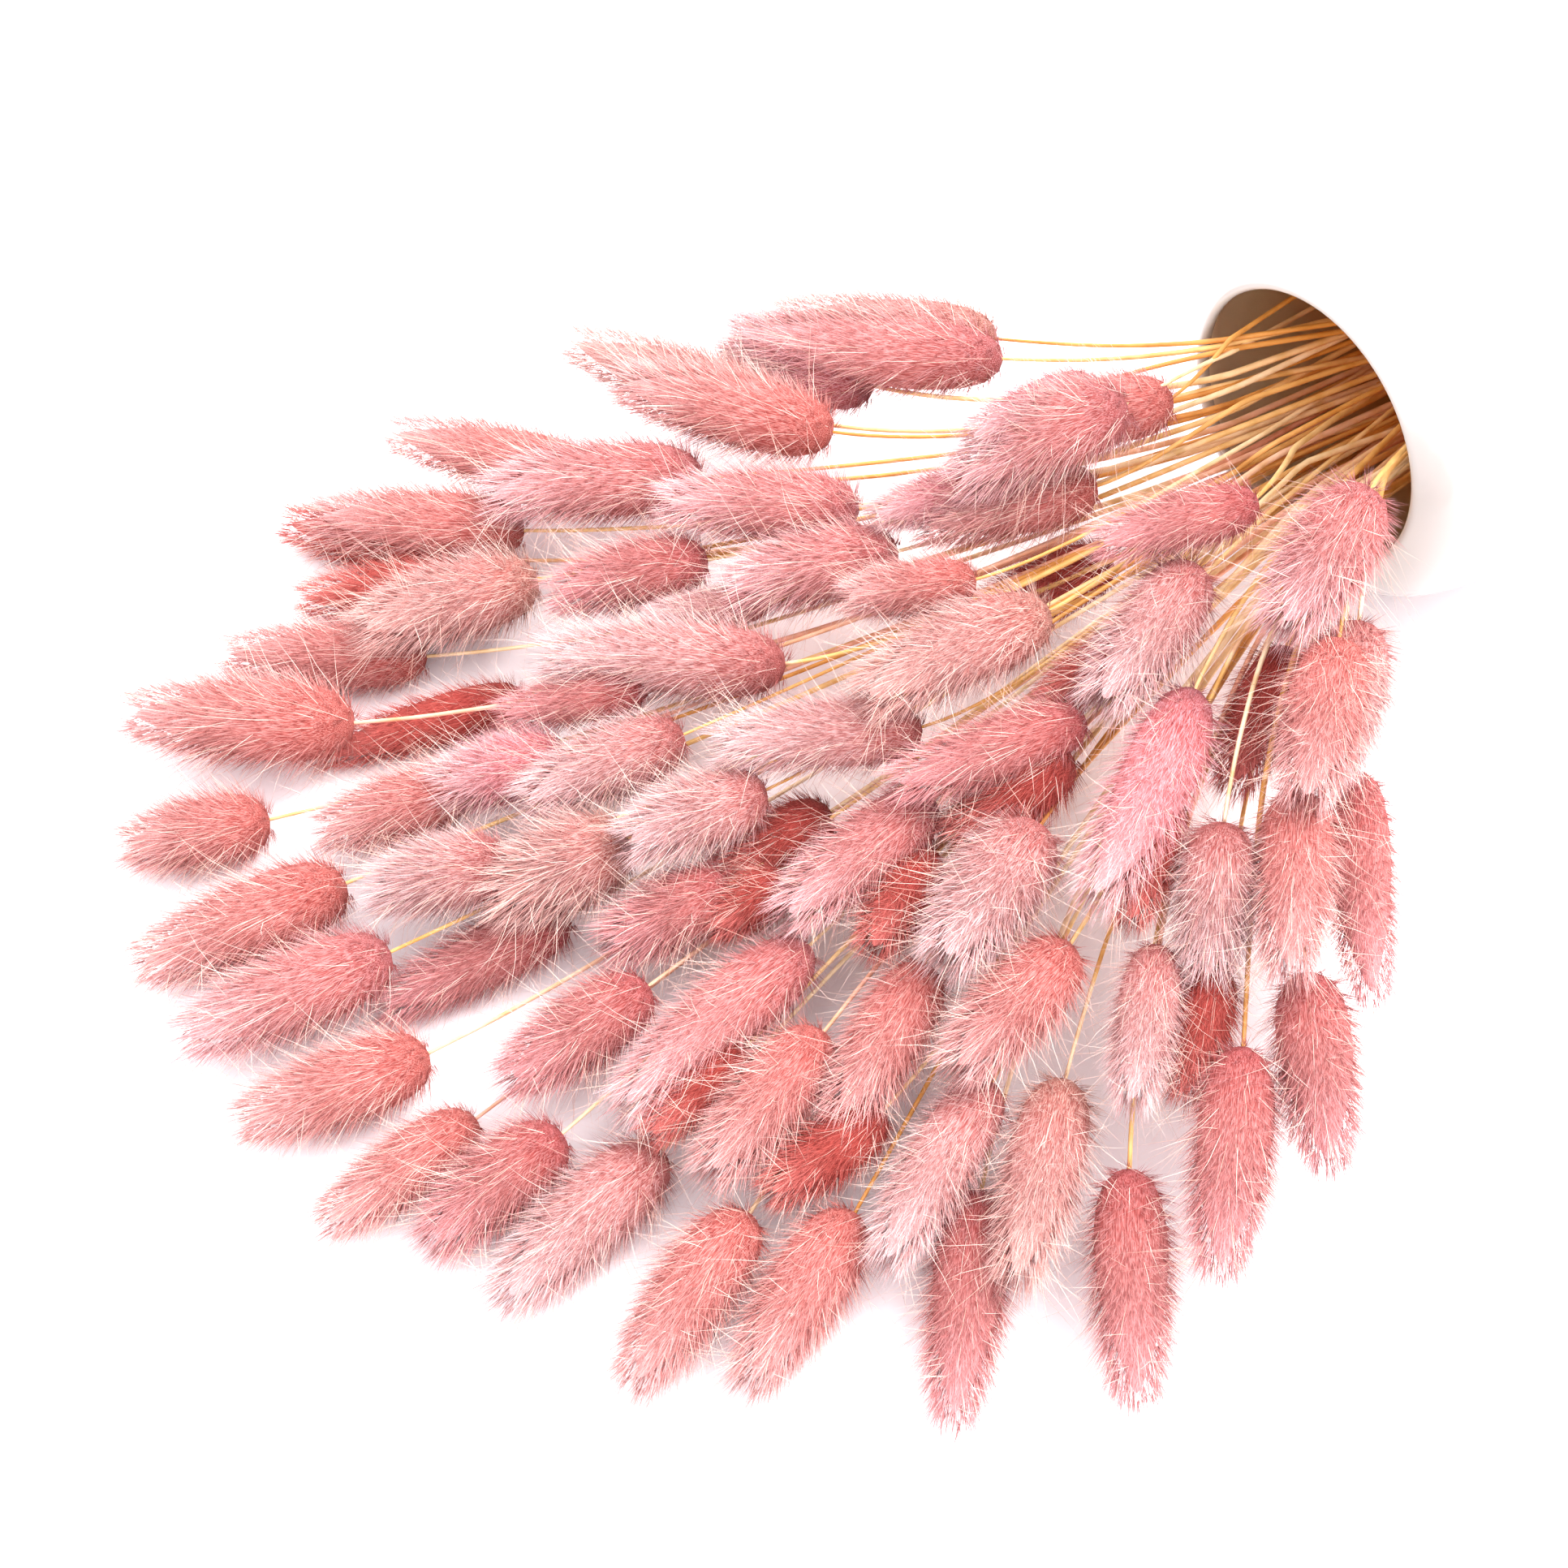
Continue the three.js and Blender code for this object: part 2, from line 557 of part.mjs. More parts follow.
// The vase is turned as one thick wall, laid down, and flattened where it touches the table.
function vaseSolid() {
  const profile = [
    new THREE.Vector2(0, -VASE_LENGTH),
    ...VASE_OUTSIDE.slice().reverse().map(([depth, radius]) => new THREE.Vector2(radius, -depth)),
    new THREE.Vector2(LIP_RADIUS, 0),
    ...VASE_INSIDE.slice().reverse().map(([depth, radius]) => new THREE.Vector2(radius, -depth)),
    new THREE.Vector2(0, -INSIDE_DEPTH),
  ];
  const turned = new THREE.LatheGeometry(profile, VASE_SIDES);
  turned.applyQuaternion(new THREE.Quaternion().setFromUnitVectors(new THREE.Vector3(0, 1, 0), outward));
  turned.translate(mouth.x, mouth.y, mouth.z);
  const below = new THREE.BoxGeometry(...TABLE_BLOCK);
  below.translate(mouth.x, mouth.y, -TABLE_BLOCK[2] / 2);
  return solid(turned).subtract(solid(below));
}

// Cuts a head's place out of the straws and keeps what still hangs together.
function clearOf(straws, head, gap) {
  const around = solid(headGeometry(head, gap));
  if (straws.intersect(around).isEmpty()) {
    return straws;
  }
  const pieces = straws.subtract(around).decompose();
  return pieces.reduce((best, piece) => (piece.volume() > best.volume() ? piece : best));
}

// The stems: each a slim three-sided straw from its head to the sheaf that they form inside the vase.
function stemsSolid() {
  const triangle = new THREE.Shape([0, 1, 2].map((k) => {
    const turn = (2 * Math.PI * k) / 3;
    return new THREE.Vector2(STEM_RADIUS * Math.cos(turn), STEM_RADIUS * Math.sin(turn));
  }));
  const sheafFrom = inVase(0, floorAt(SHEAF_START) + SHEAF_FLARE, SHEAF_START);
  const sheafTo = inVase(0, floorAt(SHEAF_END) + SHEAF_RADIUS, SHEAF_END);
  const length = sheafFrom.distanceTo(sheafTo);
  const sheaf = new THREE.CylinderGeometry(SHEAF_RADIUS, SHEAF_FLARE, length, 10, 1);
  const along = sheafTo.clone().sub(sheafFrom).normalize();
  sheaf.applyQuaternion(new THREE.Quaternion().setFromUnitVectors(new THREE.Vector3(0, 1, 0), along));
  sheaf.translate(...sheafFrom.lerp(sheafTo, 0.5).toArray());
  let all = solid(sheaf);
  for (const head of heads) {
    const points = head.stations.map((station) => place(station.px, station.py, heights[station.z]));
    const headRoot = place(head.root[0], head.root[1], heights[head.rootHeight]);
    const leave = points[1].clone().sub(headRoot).normalize();
    points[0] = headRoot.addScaledVector(leave, SEAT_GAP);
    points.push(joinsSheaf(head.entry));
    let stem = solid(straw(points, triangle));
    for (const mate of heads.filter((other) => other.node === head.node && other !== head)) {
      stem = clearOf(stem, mate, MATE_GAP);
    }
    all = all.add(stem);
  }
  return heads.reduce((sum, head) => clearOf(sum, head, SEAT_GAP), all);
}

// A straw through its bends.
function straw(points, outline) {
  const bends = new THREE.CatmullRomCurve3(points, false, 'chordal');
  bends.getPointAt = (u) => bends.getPoint(u);
  bends.getTangentAt = (u) => bends.getTangent(u);
  return new THREE.ExtrudeGeometry(outline, {
    steps: points.length - 1,
    bevelEnabled: false,
    extrudePath: bends,
  });
}

const bunch = new THREE.Group();
bunch.add(named('vase', vaseSolid(), VASE_COLOUR, 0.25));
bunch.add(named('stems', stemsSolid(), STRAW_COLOUR, 0.8));
for (const node of new Set(heads.map((head) => head.node))) {
  const members = heads.filter((head) => head.node === node);
  const joined = members.map((head) => solid(headGeometry(head))).reduce((sum, next) => sum.add(next));
  const nearest = members.reduce((best, head) => (head.front > best.front ? head : best));
  bunch.add(named(node, joined, TONES[nearest.tone], 0.95));
}

// The bunch stands over its origin: the middle of its box, on the table.
const box = new THREE.Box3().setFromObject(bunch);
const middle = box.getCenter(new THREE.Vector3());
bunch.position.set(-middle.x, -middle.y, 0);

export default bunch;
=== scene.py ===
"""A bunch of dried bunny-tail grass in a white vase that lies on its side.

The heads are plush: each is a slim core covered with spikelets of fine hairs, and every hair is a
closed spike of its own. Long pale awns stand out of them. Heads and stems lie where the solids of the
frame lie: the same readings of the photograph give each one's pixels, and the same laying of the
bunch gives the heights. Lengths are in millimetres until a piece is finished, and then in metres.
"""

import math
import random

import bmesh
import bpy
import numpy as np
from mathutils import Matrix, Vector


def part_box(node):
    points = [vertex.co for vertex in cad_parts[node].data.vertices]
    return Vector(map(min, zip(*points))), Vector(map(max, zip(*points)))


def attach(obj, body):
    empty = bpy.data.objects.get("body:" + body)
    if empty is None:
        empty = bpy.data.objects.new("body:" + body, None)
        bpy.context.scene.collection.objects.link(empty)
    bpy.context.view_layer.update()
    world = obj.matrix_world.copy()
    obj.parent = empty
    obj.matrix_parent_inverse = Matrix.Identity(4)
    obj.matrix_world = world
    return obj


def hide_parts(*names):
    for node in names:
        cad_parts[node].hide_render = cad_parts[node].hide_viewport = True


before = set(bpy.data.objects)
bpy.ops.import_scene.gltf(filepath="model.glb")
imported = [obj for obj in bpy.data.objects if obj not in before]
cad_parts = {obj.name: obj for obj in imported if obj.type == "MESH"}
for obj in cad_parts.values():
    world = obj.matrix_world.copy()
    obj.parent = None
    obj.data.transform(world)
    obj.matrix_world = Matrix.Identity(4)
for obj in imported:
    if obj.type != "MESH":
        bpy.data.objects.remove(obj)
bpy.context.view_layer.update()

MM = 0.001

# The view of the readings: it looks along +Y and down at the table.
VIEW_DOWN = math.radians(55)
VIEW_ANGLE = math.radians(30)
VIEW_DISTANCE = 685
HALF_PHOTO = 966
MOUTH_PIXEL = (1650, 550)

# The vase: its mouth's centre, the way its mouth points, and its wall.
MOUTH = Vector((119.3, 62, 54.1))
VASE_TURN = math.radians(53.5)
VASE_TILT = math.radians(3)
VASE_SIDES = 30
MOUTH_RADIUS = 33
LIP_RADIUS = 35.3
VASE_LENGTH = 205
INSIDE_DEPTH = 198
# Radius of the outer face at each distance behind the mouth, from the lip back to the foot.
VASE_OUTSIDE = [
    (1.2, 37.1), (4, 42.4), (9, 47.6), (16, 50.2), (30, 52), (48, 52.3), (196, 44.5), (203, 41), (205, 36),
]
VASE_INSIDE = [(197, 30), (190, 38.5), (48, 47), (26, 46), (13, 42), (2, MOUTH_RADIUS)]

# The stems, and the sheaf that they form inside the vase.
STEM_RADIUS = 0.95
STEM_BENDS = 4
STEM_CHECKS = 11
NECK_CHECKS = 3
NECK_PIXELS = 3
STEM_EASE = 0.3
BUNDLE_RADIUS = 29.5
BUNDLE_SPREAD = 0.92
BUNDLE_HEIGHT = 27
GATHERING = 0.33
SHEAF_START = 150
SHEAF_END = 186
SHEAF_RADIUS = 9.5
SHEAF_FLARE = 12.5
SHEAF_COVER = 3
SHEAF_GAP = 0.32

# Laying the bunch down: clearances, and how the pile rises to the mouth.
TUFT_REACH = 0.9
PLUMP_TO_BASE = 0.65
HEAD_CHECKS = [0.05, 0.16, 0.28, 0.4, 0.52, 0.64, 0.76, 0.87, 0.96]
CLEAR = 0.7
JOINED = 0.62
OVERLAPPING = 0.5
TABLE_CLEAR = 0.35
PILE_HEIGHT = 60
PILE_SLOPE = 0.25
PILE_EDGE = 11
PILE_MIDDLE = 25
LOW_HEAD_DROP = 8
FRONT_RISE = 2
SETTLING = 0.06
LEVELLING = 0.05
SMOOTHING = 0.3
LAYING_STEPS = 220
LAST_STEPS = 40

# Each head: node, root x and y, tip x and y, half width (all in pixels of the photograph), how far in
# front it lies (0 is the lowest), tone, and sideways bow. The shaded tone is painted shade.
HEADS = [
    ("heads_01", 1241, 442, 868, 402, 48, 2, "pink", -8),
    ("heads_01", 1232, 418, 930, 388, 42, 1, "peach", 0),
    ("heads_01", 1080, 478, 885, 412, 44, 0, "mauve", 0),
    ("heads_02", 1030, 535, 740, 465, 48, 2, "salmon", 0),
    ("heads_02", 985, 520, 678, 412, 44, 1, "peach", 0),
    ("heads_03", 745, 590, 458, 528, 40, 1, "salmon", 0),
    ("heads_03", 870, 590, 575, 618, 50, 2, "pink", 10),
    ("head_04", 1062, 630, 795, 622, 46, 2, "pink", 6),
    ("heads_05", 650, 655, 365, 635, 45, 1, "salmon", 0),
    ("heads_05", 590, 690, 330, 640, 38, 0, "dark", 0),
    ("heads_06", 600, 720, 350, 740, 35, 0, "dark", 0),
    ("heads_06", 665, 715, 425, 785, 48, 1, "peach", 6),
    ("head_07", 530, 810, 255, 805, 42, 1, "salmon", 0),
    ("head_08", 440, 893, 133, 878, 55, 2, "salmon", 0),
    ("head_09", 650, 855, 365, 940, 32, 0, "dark", 0),
    ("head_10", 335, 1010, 138, 1045, 45, 1, "salmon", 0),
    ("heads_11", 585, 965, 378, 1030, 42, 1, "salmon", 0),
    ("heads_11", 700, 930, 520, 975, 42, 1, "mauve", 0),
    ("heads_12", 800, 846, 600, 884, 30, 0, "rose", 0),
    ("heads_12", 972, 822, 640, 812, 50, 2, "light", 6),
    ("head_13", 845, 905, 628, 998, 46, 2, "light", 4),
    ("head_14", 945, 975, 757, 1045, 48, 2, "light", 4),
    ("head_15", 1140, 900, 862, 925, 46, 2, "light", 6),
    ("head_16", 1295, 755, 1045, 872, 55, 3, "peach", 8),
    ("head_57", 1370, 690, 1200, 760, 38, 0, "dark", 0),
    ("head_17", 1205, 715, 1025, 738, 36, 2, "salmon", 0),
    ("head_18", 875, 690, 665, 738, 42, 2, "rose", 4),
    ("heads_19", 1110, 680, 877, 735, 48, 2, "pink", 6),
    ("heads_19", 950, 742, 785, 762, 24, 0, "light", 0),
    ("heads_20", 1392, 497, 1160, 605, 52, 3, "pink", 6),
    ("heads_20", 1348, 474, 1181, 546, 35, 1, "mauve", 0),
    ("heads_20", 1447, 497, 1230, 540, 46, 2, "salmon", 8),
    ("heads_21", 1355, 600, 1117, 655, 45, 2, "salmon", 4),
    ("heads_21", 1230, 590, 1060, 642, 32, 2, "mauve", 0),
    ("head_22", 1552, 618, 1335, 675, 40, 3, "rose", 0),
    ("head_23", 1685, 605, 1572, 785, 62, 4, "pink", 0),
    ("heads_24", 1475, 700, 1345, 880, 55, 3, "light", 0),
    ("heads_24", 1400, 790, 1275, 875, 32, 0, "dark", 0),
    ("heads_25", 1470, 850, 1330, 1130, 52, 2, "mauve", -10),
    ("heads_25", 1442, 985, 1387, 1150, 34, 0, "dark", 0),
    ("head_26", 1590, 800, 1510, 985, 40, 0, "dark", 0),
    ("heads_27", 1675, 770, 1641, 962, 48, 1, "light", 0),
    ("heads_27", 1650, 790, 1605, 1003, 52, 2, "salmon", 0),
    ("head_28", 1600, 975, 1588, 1220, 48, 1, "salmon", 0),
    ("head_29", 1672, 950, 1697, 1258, 40, 0, "rose", 6),
    ("head_30", 1610, 1200, 1640, 1455, 50, 1, "rose", 0),
    ("heads_31", 1508, 1012, 1483, 1222, 50, 2, "light", 0),
    ("heads_31", 1500, 1190, 1455, 1368, 36, 0, "dark", 0),
    ("head_32", 1428, 1165, 1390, 1378, 42, 2, "light", 0),
    ("head_33", 1533, 1290, 1500, 1592, 52, 2, "rose", 0),
    ("head_34", 1390, 1440, 1402, 1752, 52, 2, "rose", 0),
    ("head_35", 1207, 1465, 1172, 1776, 50, 1, "rose", 0),
    ("head_36", 1312, 1330, 1245, 1600, 52, 2, "peach", 0),
    ("head_37", 1225, 1335, 1080, 1578, 48, 2, "light", 8),
    ("head_38", 1320, 1165, 1165, 1330, 52, 2, "salmon", 0),
    ("head_39", 1280, 1020, 1152, 1195, 58, 2, "light", 0),
    ("heads_40", 1340, 885, 1080, 975, 44, 2, "rose", 0),
    ("heads_40", 1320, 926, 1160, 1044, 42, 0, "dark", 0),
    ("heads_41", 1150, 985, 950, 1142, 50, 2, "pink", 0),
    ("heads_41", 1145, 1050, 1068, 1180, 36, 0, "dark", 0),
    ("heads_42", 900, 1090, 738, 1170, 46, 1, "rose", 0),
    ("heads_42", 970, 1080, 870, 1150, 32, 0, "dark", 0),
    ("heads_42", 1025, 1000, 865, 1090, 38, 0, "dark", 0),
    ("heads_43", 1000, 1165, 745, 1385, 52, 2, "pink", 6),
    ("heads_43", 920, 1290, 790, 1410, 36, 2, "dark", 0),
    ("head_44", 800, 1215, 612, 1340, 48, 1, "rose", 0),
    ("head_45", 1015, 1272, 862, 1460, 52, 2, "salmon", 0),
    ("heads_46", 1145, 1190, 1022, 1400, 50, 2, "salmon", 0),
    ("heads_46", 1090, 1370, 935, 1480, 40, 1, "dark", 0),
    ("head_47", 925, 1495, 770, 1725, 52, 1, "salmon", 6),
    ("head_48", 1055, 1495, 915, 1725, 52, 1, "salmon", 6),
    ("head_49", 818, 1418, 605, 1620, 56, 2, "light", 6),
    ("head_50", 695, 1397, 518, 1545, 50, 1, "rose", 6),
    ("head_51", 588, 1378, 382, 1520, 44, 1, "salmon", 0),
    ("head_52", 532, 1298, 276, 1390, 50, 1, "salmon", 0),
    ("head_53", 485, 1172, 200, 1290, 54, 2, "pink", 0),
    ("head_54", 430, 1087, 147, 1198, 53, 1, "salmon", 0),
    ("head_55", 705, 1127, 445, 1255, 42, 1, "rose", 0),
    ("heads_56", 775, 1035, 592, 1112, 55, 1, "peach", 0),
    ("heads_56", 628, 1060, 448, 1100, 46, 1, "light", 0),
]

TONES = {
    "light": ("af6f6e", "dcbdbe", "f9e2e7"),
    "pink": ("b17a80", "ddaaab", "ffd8df"),
    "rose": ("b56b71", "d09898", "f3bac0"),
    "salmon": ("c38079", "dfa7a4", "f9cccd"),
    "peach": ("b8a193", "d8b6b3", "f4d2ce"),
    "mauve": ("9e6b77", "efb6c0", "f7d9df"),
    # Painted shade: a darker copy of the colours, for heads that lie low in the pile and in shadow.
    "dark": ("8d3e37", "c26058", "e88e89"),
}
STRAW_TONES = ("dc9440", "f5c67e", "fde4c0")
AWN_TONES = ("d8a292", "eecabd", "fae4da")

# Plush: how much fuller it is than the solid's radius, how much less for each step that a head is
# raised, the rows of spikelets, the hairs of one spikelet, and the long awns. Pairs are the least and the
# most that chance gives.
PLUSH = 1.3
RAISED_PLUSH = 0.04
TUFT_ROWS = 20
TUFTS_AROUND = 12
TUFT_KINDS = 16
TUFT_HAIRS = 10
TUFT_ROOT = 0.7
HAIR_LENGTH = 8.8
HAIR_RADIUS = 0.125
HAIR_FAN = math.radians(17)
TUFT_SPREAD = 1.2
TUFT_DEPTH = 0.8
HAIR_LENGTHS = (0.65, 1.15)
HAIR_RADII = (0.8, 1.2)
AWNS = 170
AWN_LENGTH = 18.5
AWN_RADIUS = 0.064
AWN_LENGTHS = (0.7, 1.35)
AWN_BOW = 0.22
AWN_SPAN = (0.02, 0.9)
AWN_LEANS = (16, 78)

SEED = 7


def linear(hex_colour):
    """A display colour such as f4f2ee as linear values with full alpha."""
    values = [int(hex_colour[k:k + 2], 16) / 255 for k in (0, 2, 4)]
    return tuple(v / 12.92 if v <= 0.04045 else ((v + 0.055) / 1.055) ** 2.4 for v in values) + (1.0,)


# The view of the readings

FOCAL = HALF_PHOTO / math.tan(VIEW_ANGLE / 2)
EYE_Y = -VIEW_DISTANCE * math.cos(VIEW_DOWN)
EYE_Z = VIEW_DISTANCE * math.sin(VIEW_DOWN)


def ray_fall(py):
    """How fast a pixel's view ray falls for each millimetre of depth."""
    return math.cos(VIEW_DOWN) * (HALF_PHOTO - py) / FOCAL - math.sin(VIEW_DOWN)


def depth_at(py, z):
    return (z - EYE_Z) / ray_fall(py)


def pixels_per_mm(py, z):
    return FOCAL / depth_at(py, z)


def place(px, py, z):
    """The point of a pixel's view ray at height z."""
    depth = depth_at(py, z)
    along = math.cos(VIEW_DOWN) + math.sin(VIEW_DOWN) * (HALF_PHOTO - py) / FOCAL
    return Vector(((px - HALF_PHOTO) / FOCAL * depth, EYE_Y + along * depth, z))


def seen(point):
    """The pixel that a point is seen at."""
    dy = point.y - EYE_Y
    dz = point.z - EYE_Z
    depth = dy * math.cos(VIEW_DOWN) - dz * math.sin(VIEW_DOWN)
    rise = dy * math.sin(VIEW_DOWN) + dz * math.cos(VIEW_DOWN)
    return HALF_PHOTO + FOCAL * point.x / depth, HALF_PHOTO - FOCAL * rise / depth


# The vase's own directions

OUTWARD = Vector((
    -math.sin(VASE_TURN) * math.cos(VASE_TILT),
    -math.cos(VASE_TURN) * math.cos(VASE_TILT),
    math.sin(VASE_TILT),
))
SIDEWAYS = OUTWARD.cross(Vector((0, 0, 1))).normalized()
UPWARD = SIDEWAYS.cross(OUTWARD)


def in_vase(across, up, depth):
    """A point of the vase: across its mouth, up across it, and how deep behind it."""
    return MOUTH + SIDEWAYS * across + UPWARD * up - OUTWARD * depth


def floor_at(depth):
    """The sheaf's lowest line over the vase's inner wall."""
    (back, back_radius), (front, front_radius) = VASE_INSIDE[1:3]
    slope = (front_radius - back_radius) / (back - front)
    return SHEAF_GAP - (front_radius - slope * (depth - front)) * math.cos(math.pi / VASE_SIDES)


def joins_sheaf(across, up):
    """Where a stem that enters the mouth across and up from its centre joins the sheaf."""
    level = floor_at(SHEAF_START) + SHEAF_FLARE + SHEAF_COVER + up * GATHERING
    return in_vase(across * GATHERING, level, SHEAF_START + SHEAF_COVER)


def plump(u):
    """A head's half width along its length, as a share of its widest."""
    return math.sqrt(math.sin(math.pi * u ** PLUMP_TO_BASE))


# Laying the bunch down

class Head:
    """One seed head: its pixels, its radius, and the heights that the laying finds."""

    def __init__(self, index, row):
        self.node, root_x, root_y, tip_x, tip_y, half, self.front, self.tone, bow = row
        self.index = index
        self.root = (root_x, root_y)
        self.tip = (tip_x, tip_y)
        self.half = half
        self.bow = bow
        length = math.hypot(tip_x - root_x, tip_y - root_y)
        self.run = ((root_x - tip_x) / length, (root_y - tip_y) / length)
        middle_y = (root_y + tip_y) / 2
        self.bend = ((root_x + tip_x) / 2 + 2 * bow * self.run[1], middle_y - 2 * bow * self.run[0])
        self.radius = half * TUFT_REACH / pixels_per_mm(middle_y, PILE_MIDDLE)
        self.to_mouth = math.hypot(root_x - MOUTH_PIXEL[0], root_y - MOUTH_PIXEL[1])
        self.turn = math.atan2(root_y - MOUTH_PIXEL[1], MOUTH_PIXEL[0] - root_x)

    def pixel(self, u):
        s = 1 - u
        return tuple(
            s * s * a + 2 * s * u * b + u * u * c for a, b, c in zip(self.root, self.bend, self.tip)
        )


class Check:
    """A point on one view ray, at a height between two of the moving heights."""

    def __init__(self, head, pixel, a, b, share, radius, neck=False):
        self.head = head
        self.px, self.py = pixel
        self.a, self.b, self.share, self.radius, self.neck = a, b, share, radius, neck
        self.fall = ray_fall(self.py)


def in_front(one, other):
    """Which of two heads lies in front: the one read as nearer, or else the one nearer the mouth."""
    if one.front != other.front:
        return one.front > other.front
    return one.to_mouth < other.to_mouth


def near_pair(front, back, space, bond):
    """Two checks that the view brings close, with the depth that has to lie between them."""
    scale = (pixels_per_mm(front.py, PILE_MIDDLE) + pixels_per_mm(back.py, PILE_MIDDLE)) / 2
    apart = math.hypot(front.px - back.px, front.py - back.py) / scale
    if apart < space or bond:
        return [(front, back, math.sqrt(max(space * space - apart * apart, 0)), bond)]
    return []


def lay_down(heads):
    """Gives each head its stations, and returns the height of every root, tip and stem bend."""
    farthest = max(head.to_mouth for head in heads)
    fan = sorted(heads, key=lambda head: head.turn)
    for rank, head in enumerate(fan):
        across = BUNDLE_RADIUS * BUNDLE_SPREAD * (1 - 2 * rank / (len(fan) - 1))
        floor = -math.sqrt(BUNDLE_RADIUS ** 2 - across ** 2)
        head.entry = (across, floor + BUNDLE_HEIGHT * (1 - head.to_mouth / farthest))
    heights = []
    held = []

    def height(value, fixed=False):
        heights.append(value)
        held.append(fixed)
        return len(heights) - 1

    head_checks = []
    for head in heads:
        ground = place(*head.root, PILE_MIDDLE)
        away = math.hypot(ground.x - MOUTH.x, ground.y - MOUTH.y)
        drop = LOW_HEAD_DROP if head.front == 0 else 0
        head.wanted = max(PILE_EDGE - drop, PILE_HEIGHT - PILE_SLOPE * away - drop, head.radius)
        head.root_height = height(head.wanted + FRONT_RISE * head.front)
        head.tip_height = height(head.wanted + FRONT_RISE * head.front)
        for u in HEAD_CHECKS:
            radius = head.radius * plump(u)
            head_checks.append(Check(head, head.pixel(u), head.root_height, head.tip_height, u, radius))

    stem_checks = []
    for head in heads:
        stem_checks += stem_line(head, height)
    pairs = head_pairs(head_checks) + stem_pairs(heads, stem_checks, head_checks)
    pairs += bonds(heads, head_checks)
    settle(heads, heights, held, pairs, head_checks + stem_checks)
    return heights


def stem_line(head, height):
    """A stem leaves its head along the head's own line and bends to the mouth."""
    entry = in_vase(*head.entry, 0)
    entry_pixel = Vector(seen(entry))
    start = Vector(head.root) + Vector(head.run) * NECK_PIXELS
    ease = (entry_pixel - Vector(head.root)).length * STEM_EASE
    arrive = (Vector(seen(joins_sheaf(*head.entry))) - entry_pixel).normalized()
    first = start + Vector(head.run) * ease
    second = entry_pixel - arrive * ease
    head.stations = [(start.x, start.y, head.root_height)]
    for k in range(1, STEM_BENDS):
        u = k / STEM_BENDS
        s = 1 - u
        bend = start * s ** 3 + first * (3 * s * s * u) + second * (3 * s * u * u) + entry_pixel * u ** 3
        head.stations.append((bend.x, bend.y, height(s * head.wanted + u * entry.z)))
    head.stations.append((*entry_pixel, height(entry.z, True)))
    checks = []
    for k in range(STEM_BENDS):
        (ax, ay, az), (bx, by, bz) = head.stations[k:k + 2]
        for c in range(STEM_CHECKS):
            share = (c + (0.8 if k == 0 else 0.5)) / STEM_CHECKS
            pixel = (ax + (bx - ax) * share, ay + (by - ay) * share)
            checks.append(Check(head, pixel, az, bz, share, STEM_RADIUS, k == 0 and c < NECK_CHECKS))
    return checks


def head_pairs(head_checks):
    pairs = []
    for i, one in enumerate(head_checks):
        for other in head_checks[i + 1:]:
            if one.head is other.head:
                continue
            front, back = (one, other) if in_front(one.head, other.head) else (other, one)
            space = one.radius + other.radius
            space = space * OVERLAPPING if one.head.node == other.head.node else space + CLEAR
            pairs += near_pair(front, back, space, False)
    return pairs


def stem_pairs(heads, stem_checks, head_checks):
    raised = {head.node for head in heads if head.front > 0}
    pairs = []
    for stem in stem_checks:
        for check in head_checks:
            if check.head.node == stem.head.node:
                continue
            if stem.neck and in_front(stem.head, check.head):
                continue
            over = stem.head.front > 0 and check.head.node not in raised
            front, back = (stem, check) if over else (check, stem)
            pairs += near_pair(front, back, check.radius + stem.radius + CLEAR, False)
    return pairs


def bonds(heads, head_checks):
    """Heads of one node are drawn together where they are seen closest, so that they join."""
    pairs = []
    for head in heads:
        mates = [other for other in heads if other.node == head.node and other.index < head.index]
        for mate in mates[:1]:
            near = []
            for one in (check for check in head_checks if check.head is head):
                for other in (check for check in head_checks if check.head is mate):
                    scale = pixels_per_mm(one.py, PILE_MIDDLE)
                    apart = math.hypot(one.px - other.px, one.py - other.py) / scale
                    near.append((apart / (one.radius + other.radius), len(near), one, other))
            one, other = min(near)[2:]
            front, back = (one, other) if in_front(head, mate) else (other, one)
            pairs += near_pair(front, back, (one.radius + other.radius) * JOINED, True)
    return pairs


def settle(heads, heights, held, pairs, checks):
    """Moves the heights until what is in front lies clear above what it covers."""

    def height_of(check):
        return heights[check.a] * (1 - check.share) + heights[check.b] * check.share

    def lift(check, amount):
        near = 0 if held[check.a] else 1 - check.share
        far = 0 if held[check.b] else check.share
        weight = near * near + far * far
        if weight > 0.02:
            heights[check.a] += amount * near / weight
            heights[check.b] += amount * far / weight

    for step in range(LAYING_STEPS + LAST_STEPS):
        pull = max(0, 1 - step / LAYING_STEPS)
        for head in heads:
            middle = (heights[head.root_height] + heights[head.tip_height]) / 2
            for end in (head.root_height, head.tip_height):
                wish = SETTLING * (head.wanted - heights[end]) + LEVELLING * (middle - heights[end])
                heights[end] += pull * wish
            for k in range(1, STEM_BENDS):
                before, here, after = (head.stations[n][2] for n in (k - 1, k, k + 1))
                wish = (heights[before] + heights[after]) / 2 - heights[here]
                heights[here] += SMOOTHING * pull * wish
        for front, back, depth, bond in pairs:
            gap = (height_of(back) - EYE_Z) / back.fall - (height_of(front) - EYE_Z) / front.fall
            missing = depth - gap
            if missing < 0 if bond else missing > 0:
                lift(front, -front.fall * missing / 2)
                lift(back, back.fall * missing / 2)
        for check in checks:
            under = check.radius + TABLE_CLEAR - height_of(check)
            if under > 0:
                lift(check, under)


# Making pieces

